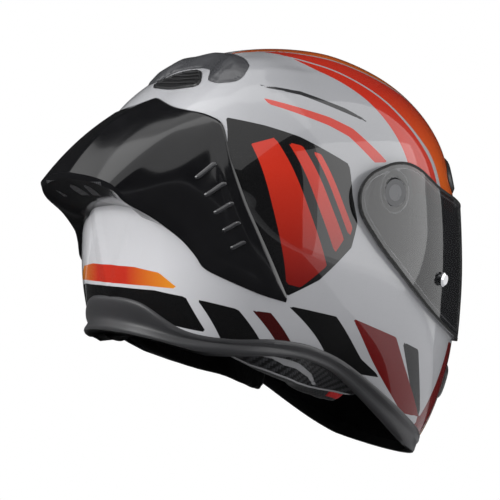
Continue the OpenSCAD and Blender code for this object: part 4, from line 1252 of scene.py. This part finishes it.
liner = patch("comfort_lining", (0, 360, 2.5), (-16, 88, 2.5), liner_inside, level(-34.1),
    liner_quilt, wrap=True, pole=True, at=-40)
dress(liner, "lining_fabric", "comfort_liner")

# Chin curtain, a sheet of stretch fabric
CURTAIN_TURN, CURTAIN_REACH = 42, 42


def curtain_ring(turn):
    """The curtain's section, from the trim back to its hem, with a shallow wave across."""
    lift = float(round_key(TRIM_BOTTOM, turn)) + 1.8
    reach = CURTAIN_REACH * (1 - 0.5 * (abs(turn) / CURTAIN_TURN) ** 3)
    path = [(TRIM_IN - 1.2, 0), (TRIM_IN - reach * 0.25, 0.5), (TRIM_IN - reach / 2, 1.2),
        (TRIM_IN - reach * 0.75, 2.2), (TRIM_IN - reach, 3.4)]
    line = smooth_line([skin(turn, lift + l, h) for h, l in path], 4)
    wave = 0.7 * math.sin(math.radians(turn) * 9)
    line = line + np.sin(np.linspace(0, math.pi, len(line)))[:, None] * [0, 0, wave]
    return np.concatenate([line, (line + [0, 0, 0.9])[::-1]])


curtain = tube_loft("chin_curtain_cloth",
    [curtain_ring(t) for t in np.linspace(-CURTAIN_TURN, CURTAIN_TURN, 57)], crease=60)
dress(curtain, "curtain_fabric", "chin_curtain")

# Chin strap
STRAP_TURN, STRAP_H, STRAP_THICK, STRAP_HALF = 92, PAD_IN - 2.2, 1.8, 11


def strap_ring(lift):
    """A woven strap's section, thinner at its long edges."""
    t = math.radians(STRAP_TURN)
    across = np.array([-math.cos(t), math.sin(t), 0]) * STRAP_HALF
    wide = np.linspace(-1, 1, 9)
    thin = np.where(np.abs(wide) > 0.99, 0.25, 0) * STRAP_THICK
    top = [skin(STRAP_TURN, lift, STRAP_H - s) + across * w for w, s in zip(wide, thin)]
    under = STRAP_H - STRAP_THICK
    return np.array(top + [skin(STRAP_TURN, lift, under + s) - across * w for w, s in zip(wide, thin)])


for (side, name), drop in zip(SIDES, (24, 30)):
    loops = np.array([strap_ring(-22 - drop * k / 14) for k in range(15)]) * [side, 1, 1]
    dress(tube_loft(f"strap_webbing_{name}", loops, crease=50), "strap_webbing", f"strap_{name}")


# Floor, light and camera
def level_sheet(name, x0, x1, y0, y1, z):
    mesh = bpy.data.meshes.new(name)
    mesh.from_pydata([(x0, y0, z), (x1, y0, z), (x1, y1, z), (x0, y1, z)], [], [(0, 1, 2, 3)])
    return put(name, mesh)


floor = level_sheet("floor", -9, 9, -9, 9, -0.0005)
g = Surface("floor_paper")
paper = g.done(Base_Color=g.mix(g.noise(3), (0.86, 0.86, 0.86), (0.90, 0.90, 0.90)), Roughness=0.9,
    Emission_Color=(1, 1, 1),
    Emission_Strength=g.times(g.node("ShaderNodeLightPath").outputs["Is Camera Ray"], 0.5))
g.link(g.choose(g.node("ShaderNodeNewGeometry").outputs["Backfacing"], g.shader.outputs[0],
    g.node("ShaderNodeBsdfTransparent").outputs[0]), g.out.inputs[0])
floor.data.materials.append(paper)

world = bpy.data.worlds.new("studio")
bpy.context.scene.world = world
sky = Graph(world)
path = sky.node("ShaderNodeLightPath").outputs
seen = sky.math("MAXIMUM", path["Is Camera Ray"], path["Is Glossy Ray"])
seen = sky.math("MAXIMUM", seen, path["Is Transmission Ray"])
fill, white = (sky.made(sky.node("ShaderNodeBackground"), colour, strength)
    for colour, strength in (((0.93, 0.95, 1), 0.30), ((1, 1, 1), 1.0)))
sky.link(sky.choose(seen, fill, white), sky.node("ShaderNodeOutputWorld").inputs[0])


def softbox(name, way, distance, width, height, power):
    """An area light that looks at the helmet from a direction in the head frame."""
    lamp = bpy.data.lights.new(name, "AREA")
    lamp.shape = "RECTANGLE"
    lamp.size, lamp.size_y = width, height
    lamp.energy = power
    obj = put(name, lamp)
    d = Vector(stand_way(way)).normalized()
    obj.location = Vector(stand([0, 0, 0])) + d * distance
    obj.rotation_mode = "QUATERNION"
    obj.rotation_quaternion = (-d).to_track_quat("-Z", "Y")


softbox("top_box", (-0.15, 0.35, 1.0), 1.5, 2.4, 2.4, 15)
softbox("front_right_box", (-0.72, -0.70, 0.10), 1.4, 1.5, 1.6, 9)
softbox("rear_box", (0.15, 1.0, 0.20), 1.5, 1.2, 1.3, 27)


def darken(obj):
    """Makes the object a dark cloth that only reflections see."""
    screen = Surface(obj.name + "_cloth")
    obj.data.materials.append(screen.done(Roughness=0.95,
        Base_Color=screen.mix(screen.noise(2), (0.010, 0.010, 0.010), (0.016, 0.016, 0.016))))
    obj.visible_camera = obj.visible_diffuse = obj.visible_shadow = obj.visible_transmission = False


FLAG_DISTANCE, FLAG_ROWS, FLAG_COLS = 2600.0, 13, 7


def flag(name, turn_from, turn_to, lift_from, lift_to):
    """A dark screen, as a studio hangs round a glossy object."""
    t, l = np.meshgrid(np.radians(np.linspace(turn_from, turn_to, FLAG_ROWS)),
        np.radians(np.linspace(lift_from, lift_to, FLAG_COLS)), indexing="ij")
    verts = np.stack([-np.cos(l) * np.sin(t), -np.cos(l) * np.cos(t), np.sin(l)], -1) * FLAG_DISTANCE
    faces = [[a, a + 1, a + 1 + FLAG_COLS, a + FLAG_COLS]
        for i in range(FLAG_ROWS - 1) for a in range(i * FLAG_COLS, (i + 1) * FLAG_COLS - 1)]
    darken(new_object(name, verts.reshape(-1, 3), faces))


flag("rear_flag", 84, 166, -38, 36)
flag("high_flag", 60, 200, 36, 84)
flag("front_flag", -110, 3, -50, 76)
darken(level_sheet("floor_card", -1.3, 1.0, -0.15, 1.6, 0.0002))

# The camera stands 37 degrees behind the wearer's right side and 3 degrees up, 1.7 m away. The photograph
# is PICTURE pixels wide, and its lens FOCAL pixels long.
PICTURE, FOCAL, AIM_X, AIM_Y = 500, 2210, 254, 247
psi, rise = math.radians(37), math.radians(3)
back = np.array([-math.cos(psi) * math.cos(rise), math.sin(psi) * math.cos(rise), math.sin(rise)])
right = np.array([-math.sin(psi), -math.cos(psi), 0.0])
axes = Matrix([Vector(stand_way(v)).normalized() for v in (right, np.cross(back, right), back)])
camera_data = bpy.data.cameras.new("camera")
camera = put("camera", camera_data)
camera.rotation_mode = "QUATERNION"
camera.location = stand(back * 1700)
camera.rotation_quaternion = axes.transposed().to_quaternion()
camera_data.sensor_width = 36
camera_data.lens = 36 * FOCAL / PICTURE
camera_data.shift_x = (PICTURE / 2 - AIM_X) / PICTURE
camera_data.shift_y = (AIM_Y - PICTURE / 2) / PICTURE
camera_data.clip_start, camera_data.clip_end = 0.05, 50
bpy.context.scene.camera = camera
bpy.context.scene.view_settings.view_transform = "Standard"
